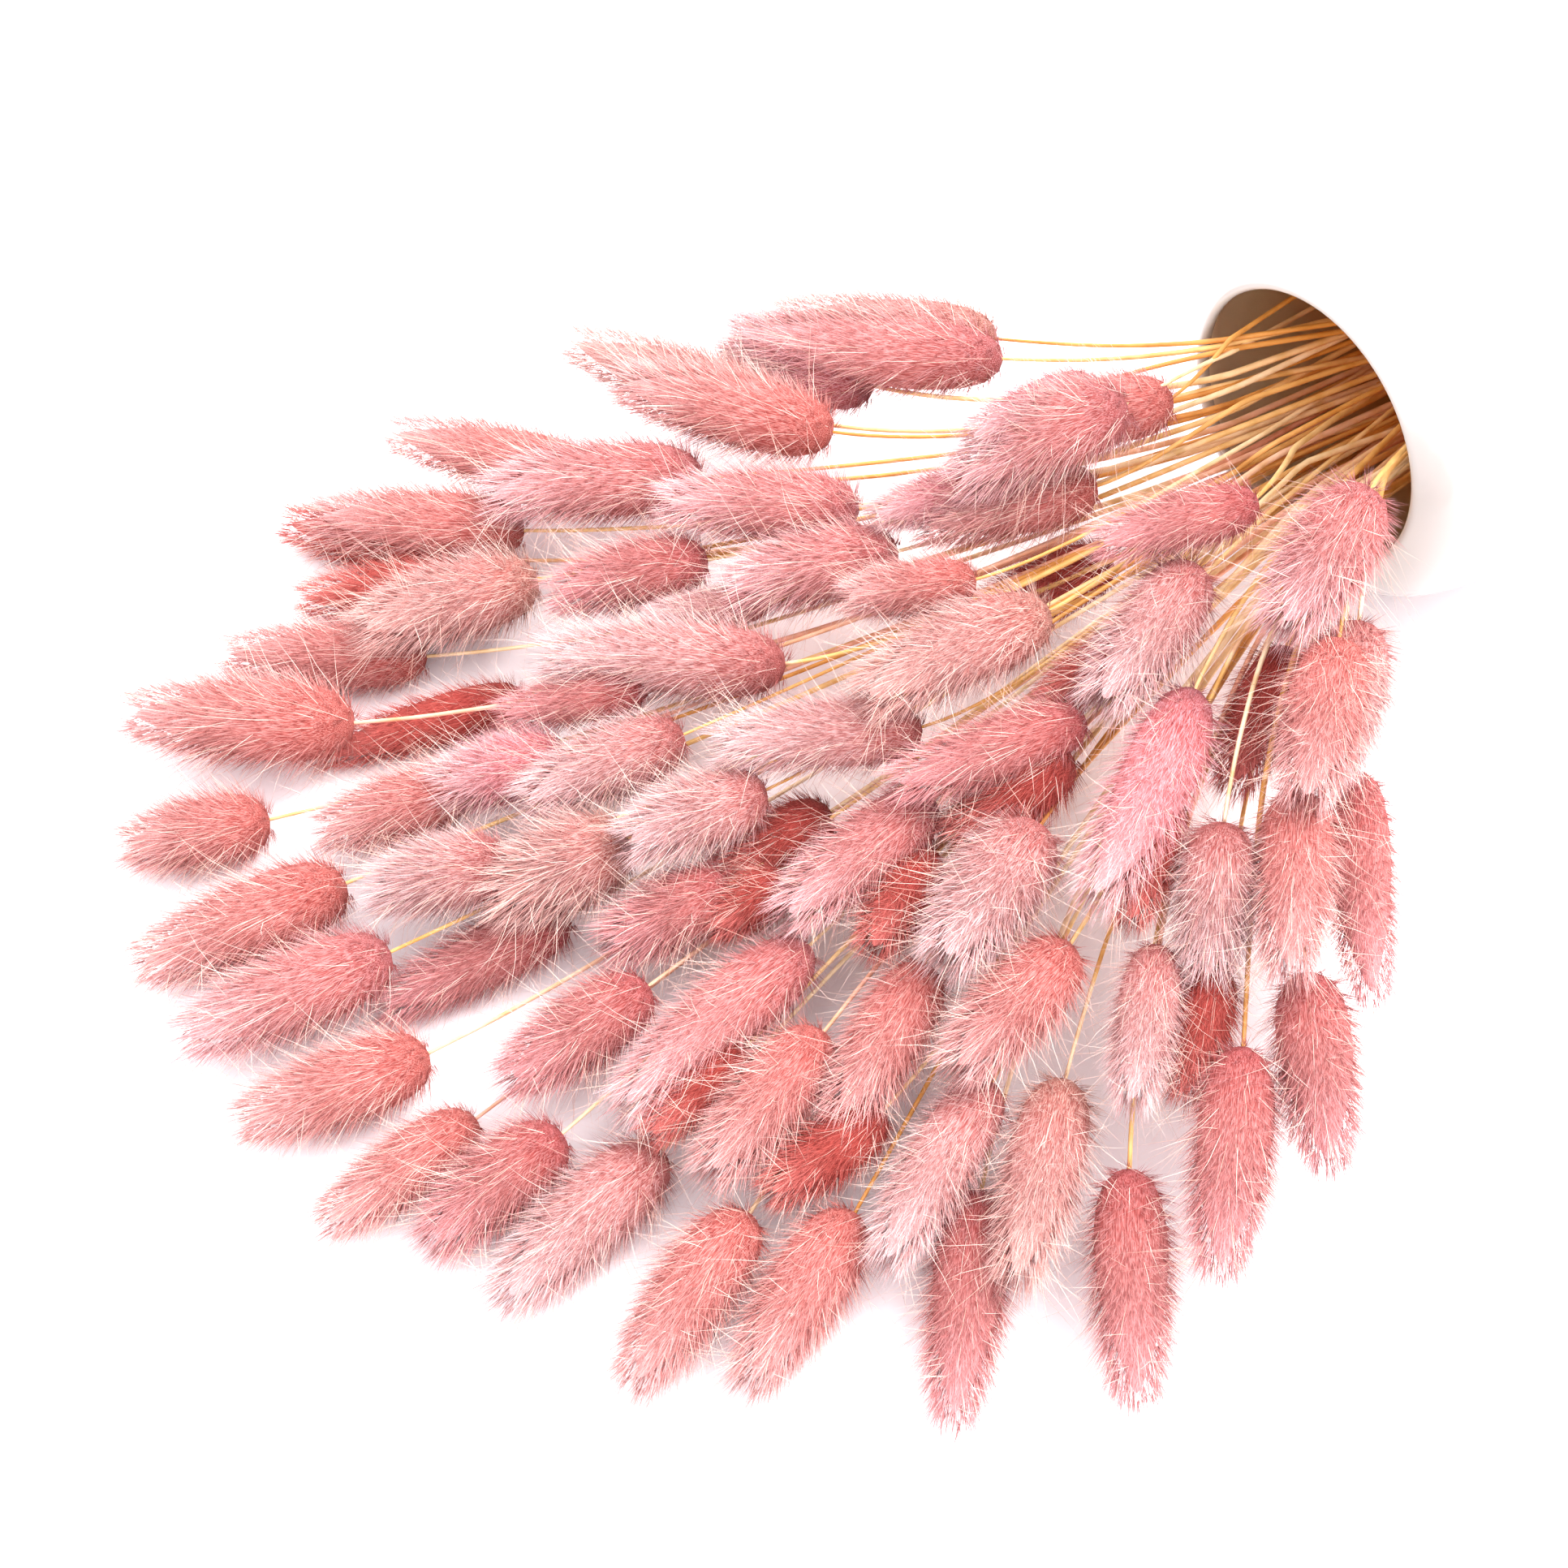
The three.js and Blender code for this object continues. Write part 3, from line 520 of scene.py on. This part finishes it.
def row_offset():
    """From the frame of the readings to the row's, found by the vase's box."""
    turn = Vector((0, 1, 0)).rotation_difference(OUTWARD)
    rims = [
        MOUTH + turn @ Vector((radius * math.sin(angle), -depth, radius * math.cos(angle)))
        for depth, radius in VASE_OUTSIDE
        for angle in (2 * math.pi * k / VASE_SIDES for k in range(VASE_SIDES))
    ]
    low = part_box("vase")[0] / MM
    return Vector((low.x - min(p.x for p in rims), low.y - min(p.y for p in rims), 0))


OFFSET = row_offset()


def finished(name, mesh, materials, slot, *nodes):
    """A piece from a mesh in the readings' millimetres: set in the row's frame, in metres."""
    mesh.transform(Matrix.Scale(MM, 4) @ Matrix.Translation(OFFSET))
    for material in materials:
        mesh.materials.append(material)
    piece = bpy.data.objects.new(name, mesh)
    bpy.context.scene.collection.objects.link(piece)
    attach(piece, "root")
    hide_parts(*nodes)
    return piece


def mesh_of(bm, name):
    mesh = bpy.data.meshes.new(name)
    bm.to_mesh(mesh)
    bm.free()
    return mesh


def mark(mesh, name, values):
    """Stores one value for each point of a mesh."""
    layer = mesh.attributes.get(name) or mesh.attributes.new(name, "FLOAT", "POINT")
    layer.data.foreach_set("value", np.broadcast_to(np.float32(values), len(mesh.vertices)))


def points_of(mesh):
    co = np.empty(len(mesh.vertices) * 3, np.float32)
    mesh.vertices.foreach_get("co", co)
    return co.reshape(-1, 3)


def depth_in_vase(mesh):
    """How deep behind the mouth each point lies, as a share of the vase's length."""
    return ((np.array(MOUTH) - points_of(mesh)) @ np.array(OUTWARD)) / VASE_LENGTH


# Seed heads: how wide and how the plush leans along a head, from its base to its tip, in degrees.

FULLNESS = (
    (0, 0.02, 0.06, 0.12, 0.2, 0.32, 0.45, 0.6, 0.75, 0.87, 0.95, 1),
    (0.12, 0.42, 0.68, 0.85, 0.95, 1, 0.99, 0.92, 0.78, 0.58, 0.36, 0.1),
)
TUFT_LEANS = ((0, 0.05, 0.15, 0.3, 0.5, 0.7, 0.9), (108, 84, 60, 44, 36, 27, 10))
TUFT_SIZES = ((0, 0.06, 0.2, 0.5, 0.9), (0.6, 0.74, 0.94, 1.0, 0.9))
PILE_SHARES = ((0, 0.35, 0.65, 1), (0.84, 0.86, 0.76, 0.4))
PILE_END = 0.88
# Hairs that would sink into the table are bent along it between these heights.
LOWEST_HAIR = 0.12
PRESSED_FROM = 1.6
GOLDEN_TURN = math.radians(137.5)
# Any way round; a head's usual radius, for which spikelets are sized; where awns start in the plush.
ANY_WAY = (0, 6.28)
USUAL_RADIUS = 8.6
AWN_ROOT = 0.73
LEAN_CHANCE = 0.1
LINE_STEPS = 41
PILE_SIDES = 12
TUFT_SPAN = (0.012, 0.9)
TUFT_SPACING = 0.15
HAIR_GRAIN = 0.09
# What the hairs' shading follows: the plush body's roundness, the sky, and each hair itself.
BODY_SHARE = 0.3
SKY_SHARE = 0.25
OWN_SHARE = 0.5


def spike(bm, place, length, radius, out, luck, chance):
    """One hair: a closed three-sided spike that stands on +Z of its place."""
    middle = place @ Matrix.Translation((0, 0, length / 2))
    made = bmesh.ops.create_cone(
        bm, cap_ends=True, segments=3, radius1=radius, radius2=0, depth=length, matrix=middle
    )
    root = place.translation
    for vert in made["verts"]:
        vert[out] = min((vert.co - root).length / length, 1)
        vert[luck] = chance
    return made["verts"]


def spikelet(rng):
    """A spikelet at the origin: fine hairs fanned round +Z."""
    bm = bmesh.new()
    out = bm.verts.layers.float.new("out")
    luck = bm.verts.layers.float.new("luck")
    for _ in range(TUFT_HAIRS):
        aside = [rng.uniform(-TUFT_SPREAD, TUFT_SPREAD) for _ in range(2)]
        start = Matrix.Translation((*aside, rng.uniform(-TUFT_DEPTH, TUFT_DEPTH)))
        turn = Matrix.Rotation(rng.uniform(0, 2 * math.pi), 4, "Z")
        lean = Matrix.Rotation(HAIR_FAN * math.sqrt(rng.random()), 4, "Y")
        length = HAIR_LENGTH * rng.uniform(*HAIR_LENGTHS)
        radius = HAIR_RADIUS * rng.uniform(*HAIR_RADII)
        spike(bm, start @ turn @ lean, length, radius, out, luck, rng.random())
    return mesh_of(bm, "spikelet")


def awn(rng):
    """A long pale bristle along +Z, bent to one side."""
    bm = bmesh.new()
    out = bm.verts.layers.float.new("out")
    luck = bm.verts.layers.float.new("luck")
    length = AWN_LENGTH * rng.uniform(*AWN_LENGTHS)
    spike(bm, Matrix(), length, AWN_RADIUS, out, luck, rng.random())
    long_edges = [edge for edge in bm.edges if edge.calc_length() > length / 2]
    bmesh.ops.subdivide_edges(bm, edges=long_edges, cuts=1)
    bow = rng.uniform(-AWN_BOW, AWN_BOW)
    for vert in bm.verts:
        share = vert.co.z / length
        vert.co.xy *= 1 + share
        vert.co.x += bow * share * vert.co.z
        vert[out] = share
    return mesh_of(bm, "awn")


class Line:
    """A head's middle line in space, with the directions across it."""

    def __init__(self, head, heights):
        low, high = heights[head.root_height], heights[head.tip_height]
        self.ends = (place(*head.root, low), place(*head.bend, (low + high) / 2), place(*head.tip, high))
        self.length = (self.ends[2] - self.ends[0]).length

    def at(self, u):
        a, b, c = self.ends
        centre = a * (1 - u) ** 2 + b * (2 * u * (1 - u)) + c * u ** 2
        along = ((b - a) * (1 - u) + (c - b) * u).normalized()
        level = Vector((along.y, -along.x, 0)).normalized()
        return centre, along, level, along.cross(level)

    def follow(self, points):
        """Each point's share of the way along, and its place beside the middle line."""
        steps = np.linspace(0, 1, LINE_STEPS)
        centres, _, levels, overs = (np.array(column) for column in zip(*map(self.at, steps)))
        nearest = np.argmin(((points[:, None, :] - centres[None]) ** 2).sum(2), 1)
        away = points - centres[nearest]
        beside = [(away * axes[nearest]).sum(1) for axes in (levels, overs)]
        return steps[nearest], np.stack([steps[nearest] * self.length * HAIR_GRAIN, *beside], 1)


def fullness(u):
    """The plush outline of a head, as a share of its widest: a rounded base and a soft, blunt tip."""
    return float(np.interp(u, *FULLNESS))


def plush_share(line, head):
    """The share of its width that a head keeps where it is raised nearer to the eye."""
    nearness = depth_at(head.bend[1], line.at(0.5)[0].z) / depth_at(head.bend[1], PILE_MIDDLE)
    return min(nearness, 1) * (1 - RAISED_PLUSH * head.front)


def head_pile(line, reach_of):
    """The dense pile that the longer hairs stand out of."""
    bm = bmesh.new()
    out = bm.verts.layers.float.new("out")
    luck = bm.verts.layers.float.new("luck")
    bmesh.ops.create_uvsphere(bm, u_segments=PILE_SIDES, v_segments=PILE_SIDES, radius=1)
    for vert in bm.verts:
        u = min(max((vert.co.z + 1) / 2, 0.001), 0.999)
        across = Vector((vert.co.x, vert.co.y)).normalized() if abs(vert.co.z) < 0.999 else Vector((0, 0))
        centre, _, level, over = line.at(0.01 + PILE_END * u)
        reach = reach_of(u) * np.interp(u, *PILE_SHARES)
        vert.co = centre + (level * across.x + over * across.y) * reach
        vert[out] = 0.5
        vert[luck] = 0.5
    return mesh_of(bm, "pile")


def spikelet_stations():
    """Shares of the way along, closer together where the head is wide."""
    steps = np.linspace(*TUFT_SPAN, 200)
    area = np.cumsum([fullness(u) + TUFT_SPACING for u in steps])
    count = TUFT_ROWS * TUFTS_AROUND
    return np.interp((np.arange(count) + 0.5) / count, area / area[-1], steps)


def standing(line, u, turn, sink, lean, spin, size):
    """The place of a tuft: sunk towards the middle line, and leaning out from the way to the tip."""
    centre, along, level, over = line.at(u)
    away = level * math.cos(turn) + over * math.sin(turn)
    up = along * math.cos(lean) + away * math.sin(lean)
    beside = along.cross(away)
    axes = Matrix((beside, up.cross(beside), up)).transposed().to_4x4()
    start = Matrix.Translation(centre + away * sink)
    return start @ axes @ Matrix.Rotation(spin, 4, "Z") @ Matrix.Scale(size, 4)


def planted(bm, kinds, place, rng, material=1):
    """Sets a copy of one of the kinds at a place."""
    copy = rng.choice(kinds).copy()
    copy.transform(place)
    copy.polygons.foreach_set("material_index", [material] * len(copy.polygons))
    bm.from_mesh(copy)
    bpy.data.meshes.remove(copy)


def shade_softly(mesh, grain, line, shares):
    """Lets the hairs take the light as the plush body that they make up does."""
    ends = np.array([[*line.at(u)[2], *line.at(u)[3]] for u in (0, 1)])
    axes = ends[0] + (ends[1] - ends[0]) * shares[:, None]
    away = axes[:, :3] * grain[:, 1:2] + axes[:, 3:] * grain[:, 2:3]
    away /= np.maximum(np.linalg.norm(away, axis=1, keepdims=True), 1e-6)
    own = np.empty(len(mesh.vertices) * 3, np.float32)
    mesh.vertices.foreach_get("normal", own)
    soft = away * BODY_SHARE + own.reshape(-1, 3) * OWN_SHARE + np.array((0, 0, SKY_SHARE))
    mesh.polygons.foreach_set("use_smooth", [True] * len(mesh.polygons))
    mesh.normals_split_custom_set_from_vertices(soft / np.linalg.norm(soft, axis=1, keepdims=True))


def bent_along_table(mesh):
    """Bends what would sink into the table so that it lies along it, and returns the mesh's points."""
    points = points_of(mesh)
    room = PRESSED_FROM - LOWEST_HAIR
    pressed = LOWEST_HAIR + room * np.exp(np.minimum(points[:, 2] - PRESSED_FROM, 0) / room)
    points[:, 2] = np.where(points[:, 2] < PRESSED_FROM, pressed, points[:, 2])
    mesh.vertices.foreach_set("co", points.ravel())
    mesh.update()
    return points


def seed_head(head, heights, spikelets, awns, furs, awn_finish):
    """One plush head: its core, its spikelets in a spiral, and its awns."""
    rng = random.Random(SEED + head.index)
    line = Line(head, heights)
    wide = head.radius * plush_share(line, head)
    size = wide / USUAL_RADIUS

    def reach_of(u):
        return wide * PLUSH * fullness(u)

    bm = bmesh.new()
    bm.from_mesh(head_pile(line, reach_of))
    for k, u in enumerate(spikelet_stations()):
        lean = math.radians(np.interp(u, *TUFT_LEANS)) + rng.uniform(-LEAN_CHANCE, LEAN_CHANCE)
        sink = reach_of(u) * TUFT_ROOT
        long = size * np.interp(u, *TUFT_SIZES)
        place_of = standing(line, u, k * GOLDEN_TURN, sink, lean, rng.uniform(*ANY_WAY), long)
        planted(bm, spikelets, place_of, rng)
    for _ in range(AWNS):
        u = rng.uniform(*AWN_SPAN)
        lean = math.radians(rng.uniform(*AWN_LEANS))
        sink = reach_of(u) * AWN_ROOT
        place_of = standing(line, u, rng.uniform(*ANY_WAY), sink, lean, rng.uniform(*ANY_WAY), size)
        planted(bm, awns, place_of, rng, 2)
    mesh = mesh_of(bm, head.node)
    points = bent_along_table(mesh)
    shares, grain = line.follow(points)
    mark(mesh, "along", shares)
    mesh.attributes.new("grain", "FLOAT_VECTOR", "POINT").data.foreach_set("vector", grain.ravel())
    shade_softly(mesh, grain, line, shares)
    name = f"bunny_tail_{head.index + 1:02d}"
    finished(name, mesh, [*furs[head.tone], awn_finish], f"heads_{head.tone}", head.node)


# Stems: the half width of a straw from its head to its cut end, how far it reaches into the head, the
# pixels from the mouth within which a stem is too short to bend, how often long and short stems are drawn
# straighter, how far straws cross in the vase, and how much they differ in thickness and length.

STEM_WIDTHS = ((0, 0.3, 0.75, 1), (0.42, 0.54, 0.74, 0.78))
STEM_IN_HEAD = 0.06
SHORT_STEM = 260
STRAIGHTER = 2
SHORT_STRAIGHTER = 8
CROSSING = 24
STRAW_WIDTHS = (0.85, 1.15)
END_CHANCE = 14
SHEAF_FILL = 0.85


def straightened(points, times):
    """Draws the points between the first and the last towards a smooth line, some times over."""
    for _ in range(times):
        middle = [(a + b * 2 + c) / 4 for a, b, c in zip(points, points[1:], points[2:])]
        points = [points[0], *middle, points[-1]]
    return points


def stem_curve(heads, heights):
    """All stems as one curve, thicker towards the mouth, ending among the others inside the vase."""
    rng = random.Random(SEED)
    curve = bpy.data.curves.new("stems", "CURVE")
    curve.dimensions = "3D"
    curve.bevel_depth = 1
    curve.bevel_resolution = 1
    curve.resolution_u = 4
    curve.use_fill_caps = True
    for head in heads:
        points = [Line(head, heights).at(STEM_IN_HEAD)[0]]
        points += [place(px, py, heights[z]) for px, py, z in head.stations]
        points = straightened(points, SHORT_STRAIGHTER if head.to_mouth < SHORT_STEM else STRAIGHTER)
        aside, above = rng.uniform(-1, 1) * CROSSING, rng.random() * CROSSING
        points.append(joins_sheaf(*head.entry) + SIDEWAYS * aside + UPWARD * above)
        end = SHEAF_END - rng.uniform(0, END_CHANCE)
        spread = SHEAF_RADIUS * SHEAF_FILL * math.sqrt(rng.random())
        turn = rng.uniform(0, 2 * math.pi)
        level = floor_at(end) + SHEAF_RADIUS + spread * math.sin(turn)
        points.append(in_vase(spread * math.cos(turn) + aside, level + above, end))
        widths = np.interp(np.linspace(0, 1, len(points)), *STEM_WIDTHS) * rng.uniform(*STRAW_WIDTHS)
        spline = curve.splines.new("BEZIER")
        spline.bezier_points.add(len(points) - 1)
        for bezier, point, width in zip(spline.bezier_points, points, widths):
            bezier.co = point
            bezier.radius = width
            bezier.handle_left_type = bezier.handle_right_type = "AUTO"
    return curve


def make_stems(heads, heights, finish):
    curve = stem_curve(heads, heights)
    holder = bpy.data.objects.new("stem_lines", curve)
    bpy.context.scene.collection.objects.link(holder)
    bpy.context.view_layer.update()
    ready = holder.evaluated_get(bpy.context.evaluated_depsgraph_get())
    mesh = bpy.data.meshes.new_from_object(ready)
    bpy.data.objects.remove(holder)
    rng = random.Random(SEED)
    each = len(mesh.vertices) // len(heads)
    mark(mesh, "luck", np.repeat([rng.random() for _ in heads], each))
    mark(mesh, "deep", depth_in_vase(mesh))
    return finished("straws", mesh, [finish], "straw", "stems")


# Vase: the steps of its turning, and how deep the glaze reaches over the lip.

VASE_STEPS = 40
GLAZED_LIP = 3


def make_vase(glaze, clay):
    """The vase is spun from its profile, laid down, smoothed, and flat where it rests."""
    bm = bmesh.new()
    profile = [(VASE_LENGTH, 0), *[(d, r) for d, r in reversed(VASE_OUTSIDE)], (0, LIP_RADIUS)]
    inner = [*[(d, r) for d, r in reversed(VASE_INSIDE)], (INSIDE_DEPTH, 0)]
    verts = [bm.verts.new((radius, 0, -depth)) for depth, radius in profile + inner]
    edges = [bm.edges.new(pair) for pair in zip(verts, verts[1:])]
    bmesh.ops.spin(
        bm,
        geom=verts + edges,
        cent=(0, 0, 0),
        axis=(0, 0, 1),
        steps=VASE_STEPS,
        angle=2 * math.pi,
        use_merge=True,
    )
    bmesh.ops.remove_doubles(bm, verts=bm.verts, dist=0.001)
    bm.normal_update()
    bmesh.ops.recalc_face_normals(bm, faces=bm.faces)
    for face in bm.faces:
        centre = face.calc_center_median()
        face.smooth = True
        inward = face.normal.dot(Vector((centre.x, centre.y, 0))) < 0
        face.material_index = int(inward and centre.z < -GLAZED_LIP)
    turn = Vector((0, 0, 1)).rotation_difference(OUTWARD)
    bmesh.ops.transform(bm, matrix=Matrix.Translation(MOUTH) @ turn.to_matrix().to_4x4(), verts=bm.verts)
    holder = bpy.data.objects.new("vase_cage", mesh_of(bm, "vase_cage"))
    bpy.context.scene.collection.objects.link(holder)
    smooth = holder.modifiers.new("smooth", "SUBSURF")
    smooth.levels = smooth.render_levels = 2
    bpy.context.view_layer.update()
    ready = holder.evaluated_get(bpy.context.evaluated_depsgraph_get())
    bm = bmesh.new()
    bm.from_mesh(ready.to_mesh())
    bpy.data.objects.remove(holder)
    bmesh.ops.bisect_plane(
        bm,
        geom=bm.verts[:] + bm.edges[:] + bm.faces[:],
        plane_co=(0, 0, 0),
        plane_no=(0, 0, 1),
        clear_inner=True,
    )
    bmesh.ops.holes_fill(bm, edges=[edge for edge in bm.edges if edge.is_boundary])
    mesh = mesh_of(bm, "white_vase")
    mark(mesh, "deep", depth_in_vase(mesh))
    return finished("white_vase", mesh, [glaze, clay], "vase_glaze", "vase")


# Finishes

def node_material(name, roughness):
    material = bpy.data.materials.new(name)
    material.use_nodes = True
    shader = material.node_tree.nodes["Principled BSDF"]
    shader.inputs["Roughness"].default_value = roughness
    return material, material.node_tree, shader


def stored(tree, name):
    node = tree.nodes.new("ShaderNodeAttribute")
    node.attribute_name = name
    return node.outputs["Fac"]


def ramp(tree, factor, stops):
    """Colours or greys over a factor, given as (place, hex colour) pairs."""
    node = tree.nodes.new("ShaderNodeValToRGB")
    band = node.color_ramp
    while len(band.elements) < len(stops):
        band.elements.new(0.5)
    for element, (position, colour) in zip(band.elements, stops):
        element.position = position
        element.color = linear(colour)
    tree.links.new(factor, node.inputs["Fac"])
    return node.outputs["Color"]


def mixed(tree, kind, factor, one, two):
    node = tree.nodes.new("ShaderNodeMix")
    node.data_type = "RGBA"
    node.blend_type = kind
    for socket, value in ((0, factor), (6, one), (7, two)):
        if isinstance(value, bpy.types.NodeSocket):
            tree.links.new(value, node.inputs[socket])
        else:
            node.inputs[socket].default_value = value
    return node.outputs[2]


def noise(tree, scale, detail=3.0):
    where = tree.nodes.new("ShaderNodeTexCoord")
    node = tree.nodes.new("ShaderNodeTexNoise")
    node.inputs["Scale"].default_value = scale
    node.inputs["Detail"].default_value = detail
    tree.links.new(where.outputs["Object"], node.inputs["Vector"])
    return node.outputs["Fac"]


def bumped(tree, shader, height, strength, distance):
    node = tree.nodes.new("ShaderNodeBump")
    node.inputs["Strength"].default_value = strength
    node.inputs["Distance"].default_value = distance
    tree.links.new(height, node.inputs["Height"])
    tree.links.new(node.outputs["Normal"], shader.inputs["Normal"])


def dye_and_painted_shade(tree, tones, depth):
    """The dye along a head, darker at its base and paler at its tip, the paler tip partly painted light that
    passes through it; and painted shade between its hairs, which fades where the tip lets light through.
    """
    base, middle, tip = tones
    length = ramp(tree, stored(tree, "along"), [(0.0, base), (0.3, middle), (0.55, middle), (0.9, tip)])
    # Painted light: towards the tip, the painted shade between the hairs fades to near white.
    glow = ramp(tree, stored(tree, "along"), [(0.25, "000000"), (0.9, "c8c8c8")])
    shade = mixed(tree, "MIX", glow, depth, linear("fff4f2"))
    return mixed(tree, "MULTIPLY", 1.0, length, shade)


def fur_finish(name, *tones):
    """The hairs, with their dye, and the pile under them: darker at the head's base, and darker at the hairs'
    roots and in the pile with painted shade.
    """
    hairs, tree, shader = node_material(f"hairs_{name}", 0.8)
    # Painted shade: each hair is darker towards its root, down among the others.
    depth = ramp(tree, stored(tree, "out"), [(0.0, "b06864"), (0.3, "e2b4b0"), (0.65, "ffffff")])
    colour = dye_and_painted_shade(tree, tones, depth)
    # Each hair is paler towards its end: partly its own paler tip, partly painted light passing through the
    # thin end.
    ends = ramp(tree, stored(tree, "out"), [(0.55, "000000"), (1.0, "868686")])
    colour = mixed(tree, "MIX", ends, colour, linear(tones[2]))
    chance = ramp(tree, stored(tree, "luck"), [(0.0, "e2c4c0"), (0.4, "f4e6e4"), (1.0, "ffffff")])
    colour = mixed(tree, "MULTIPLY", 1.0, colour, chance)
    tree.links.new(colour, shader.inputs["Base Color"])

    pile, tree, shader = node_material(f"pile_{name}", 0.9)
    grain = tree.nodes.new("ShaderNodeTexNoise")
    grain.inputs["Scale"].default_value = 4.5
    grain.inputs["Detail"].default_value = 2.0
    where = tree.nodes.new("ShaderNodeAttribute")
    where.attribute_name = "grain"
    tree.links.new(where.outputs["Vector"], grain.inputs["Vector"])
    # Painted shade: the pile's dark streaks stand for the shadowed gaps between hairs, over the pile's own
    # grain.
    streaks = ramp(tree, grain.outputs["Fac"], [(0.36, "b0605c"), (0.5, "d49c96"), (0.64, "f6dad6")])
    tree.links.new(dye_and_painted_shade(tree, tones, streaks), shader.inputs["Base Color"])
    bumped(tree, shader, grain.outputs["Fac"], 0.8, 0.0008)
    return pile, hairs


def awn_material():
    material, tree, shader = node_material("awn", 0.5)
    colour = ramp(tree, stored(tree, "luck"), [(0.0, AWN_TONES[0]), (0.4, AWN_TONES[1]), (1.0, AWN_TONES[2])])
    tree.links.new(colour, shader.inputs["Base Color"])
    return material


def straw_material():
    material, tree, shader = node_material("straw", 0.55)
    low, middle, high = STRAW_TONES
    colour = ramp(tree, stored(tree, "luck"), [(0.0, low), (0.35, middle), (0.7, high), (0.9, "f6b69c")])
    streaks = ramp(tree, noise(tree, 160.0), [(0.3, "dccba8"), (0.6, "ffffff")])
    colour = mixed(tree, "MULTIPLY", 1.0, colour, streaks)
    # Painted light: deeper in the vase the straws turn bright amber, for the warm light glowing inside it.
    inside = ramp(tree, stored(tree, "deep"), [(0.0, "000000"), (0.16, "b8b8b8")])
    colour = mixed(tree, "MIX", inside, colour, linear("ff9a28"))
    tree.links.new(colour, shader.inputs["Base Color"])
    bumped(tree, shader, noise(tree, 900.0), 0.25, 0.0002)
    return material


def glaze_material():
    material, tree, shader = node_material("glaze", 0.16)
    colour = ramp(tree, noise(tree, 14.0), [(0.3, "b2b2ae"), (0.7, "b8b8b5")])
    tree.links.new(colour, shader.inputs["Base Color"])
    shader.inputs["Coat Weight"].default_value = 0.4
    shader.inputs["Coat Roughness"].default_value = 0.08
    bumped(tree, shader, noise(tree, 30.0), 0.04, 0.001)
    return material


def clay_material():
    """The unglazed inside, paler at the mouth and darker amber-brown deeper in: painted shade and painted
    warm light reflected from the straws.
    """
    material, tree, shader = node_material("clay", 0.6)
    # Painted shade and painted warm reflected light: the wall turns darker amber-brown deeper in.
    stops = [(0.0, "f4ead6"), (0.14, "ecd8b0"), (0.3, "dc9438"), (0.6, "c47818")]
    wall = ramp(tree, stored(tree, "deep"), stops)
    mottle = ramp(tree, noise(tree, 25.0), [(0.3, "e8e4dc"), (0.7, "ffffff")])
    tree.links.new(mixed(tree, "MULTIPLY", 1.0, wall, mottle), shader.inputs["Base Color"])
    bumped(tree, shader, noise(tree, 220.0), 0.15, 0.0005)
    return material


# Stage: the sky's colour and strength, and the window light.

SKY = (1.0, 0.985, 0.995, 1)
SKY_STRENGTH = 2.55
WINDOW_AT = (0.95, 0.55, 1.25)
WINDOW_SIZE = 1.0
WINDOW_POWER = 42
WINDOW_COLOUR = (1.0, 0.985, 0.975)
TABLE_HALF = 6


def add_light(name, position, target, size, power, colour):
    light = bpy.data.lights.new(name, "AREA")
    light.shape = "DISK"
    light.size = size
    light.energy = power
    light.color = colour
    lamp = bpy.data.objects.new(name, light)
    lamp.location = position
    lamp.rotation_euler = (Vector(target) - Vector(position)).to_track_quat("-Z", "Y").to_euler()
    bpy.context.scene.collection.objects.link(lamp)


def set_stage():
    """A white table, soft light from the upper right, and the camera of the readings."""
    scene = bpy.context.scene
    bm = bmesh.new()
    bmesh.ops.create_grid(bm, x_segments=1, y_segments=1, size=TABLE_HALF)
    table = bpy.data.objects.new("table", mesh_of(bm, "table"))
    scene.collection.objects.link(table)
    material, tree, shader = node_material("table_white", 0.7)
    # A faint pink tint: painted pink bounce light, which shows only in the table's shadows because the lit
    # table renders white.
    colour = ramp(tree, noise(tree, 3.0), [(0.3, "faf1f5"), (0.7, "fcf4f7")])
    tree.links.new(colour, shader.inputs["Base Color"])
    table.data.materials.append(material)

    world = bpy.data.worlds.new("studio")
    world.use_nodes = True
    world.node_tree.nodes["Background"].inputs["Color"].default_value = SKY
    world.node_tree.nodes["Background"].inputs["Strength"].default_value = SKY_STRENGTH
    scene.world = world
    add_light("window", WINDOW_AT, (0, 0, 0), WINDOW_SIZE, WINDOW_POWER, WINDOW_COLOUR)

    camera = bpy.data.cameras.new("camera")
    camera.sensor_width = 36
    camera.lens = 18 / math.tan(VIEW_ANGLE / 2)
    camera.clip_start = 0.01
    viewer = bpy.data.objects.new("camera", camera)
    viewer.location = (Vector((0, EYE_Y, EYE_Z)) + OFFSET) * MM
    viewer.rotation_euler = (math.pi / 2 - VIEW_DOWN, 0, 0)
    scene.collection.objects.link(viewer)
    scene.camera = viewer
    scene.view_settings.view_transform = "Standard"


def build():
    heads = [Head(index, row) for index, row in enumerate(HEADS)]
    heights = lay_down(heads)
    rng = random.Random(SEED)
    spikelets = [spikelet(rng) for _ in range(TUFT_KINDS)]
    awns = [awn(rng) for _ in range(TUFT_KINDS)]
    furs = {name: fur_finish(name, *tones) for name, tones in TONES.items()}
    awn_finish = awn_material()
    for head in heads:
        seed_head(head, heights, spikelets, awns, furs, awn_finish)
    make_stems(heads, heights, straw_material())
    make_vase(glaze_material(), clay_material())
    for mesh in spikelets + awns:
        bpy.data.meshes.remove(mesh)


build()
set_stage()
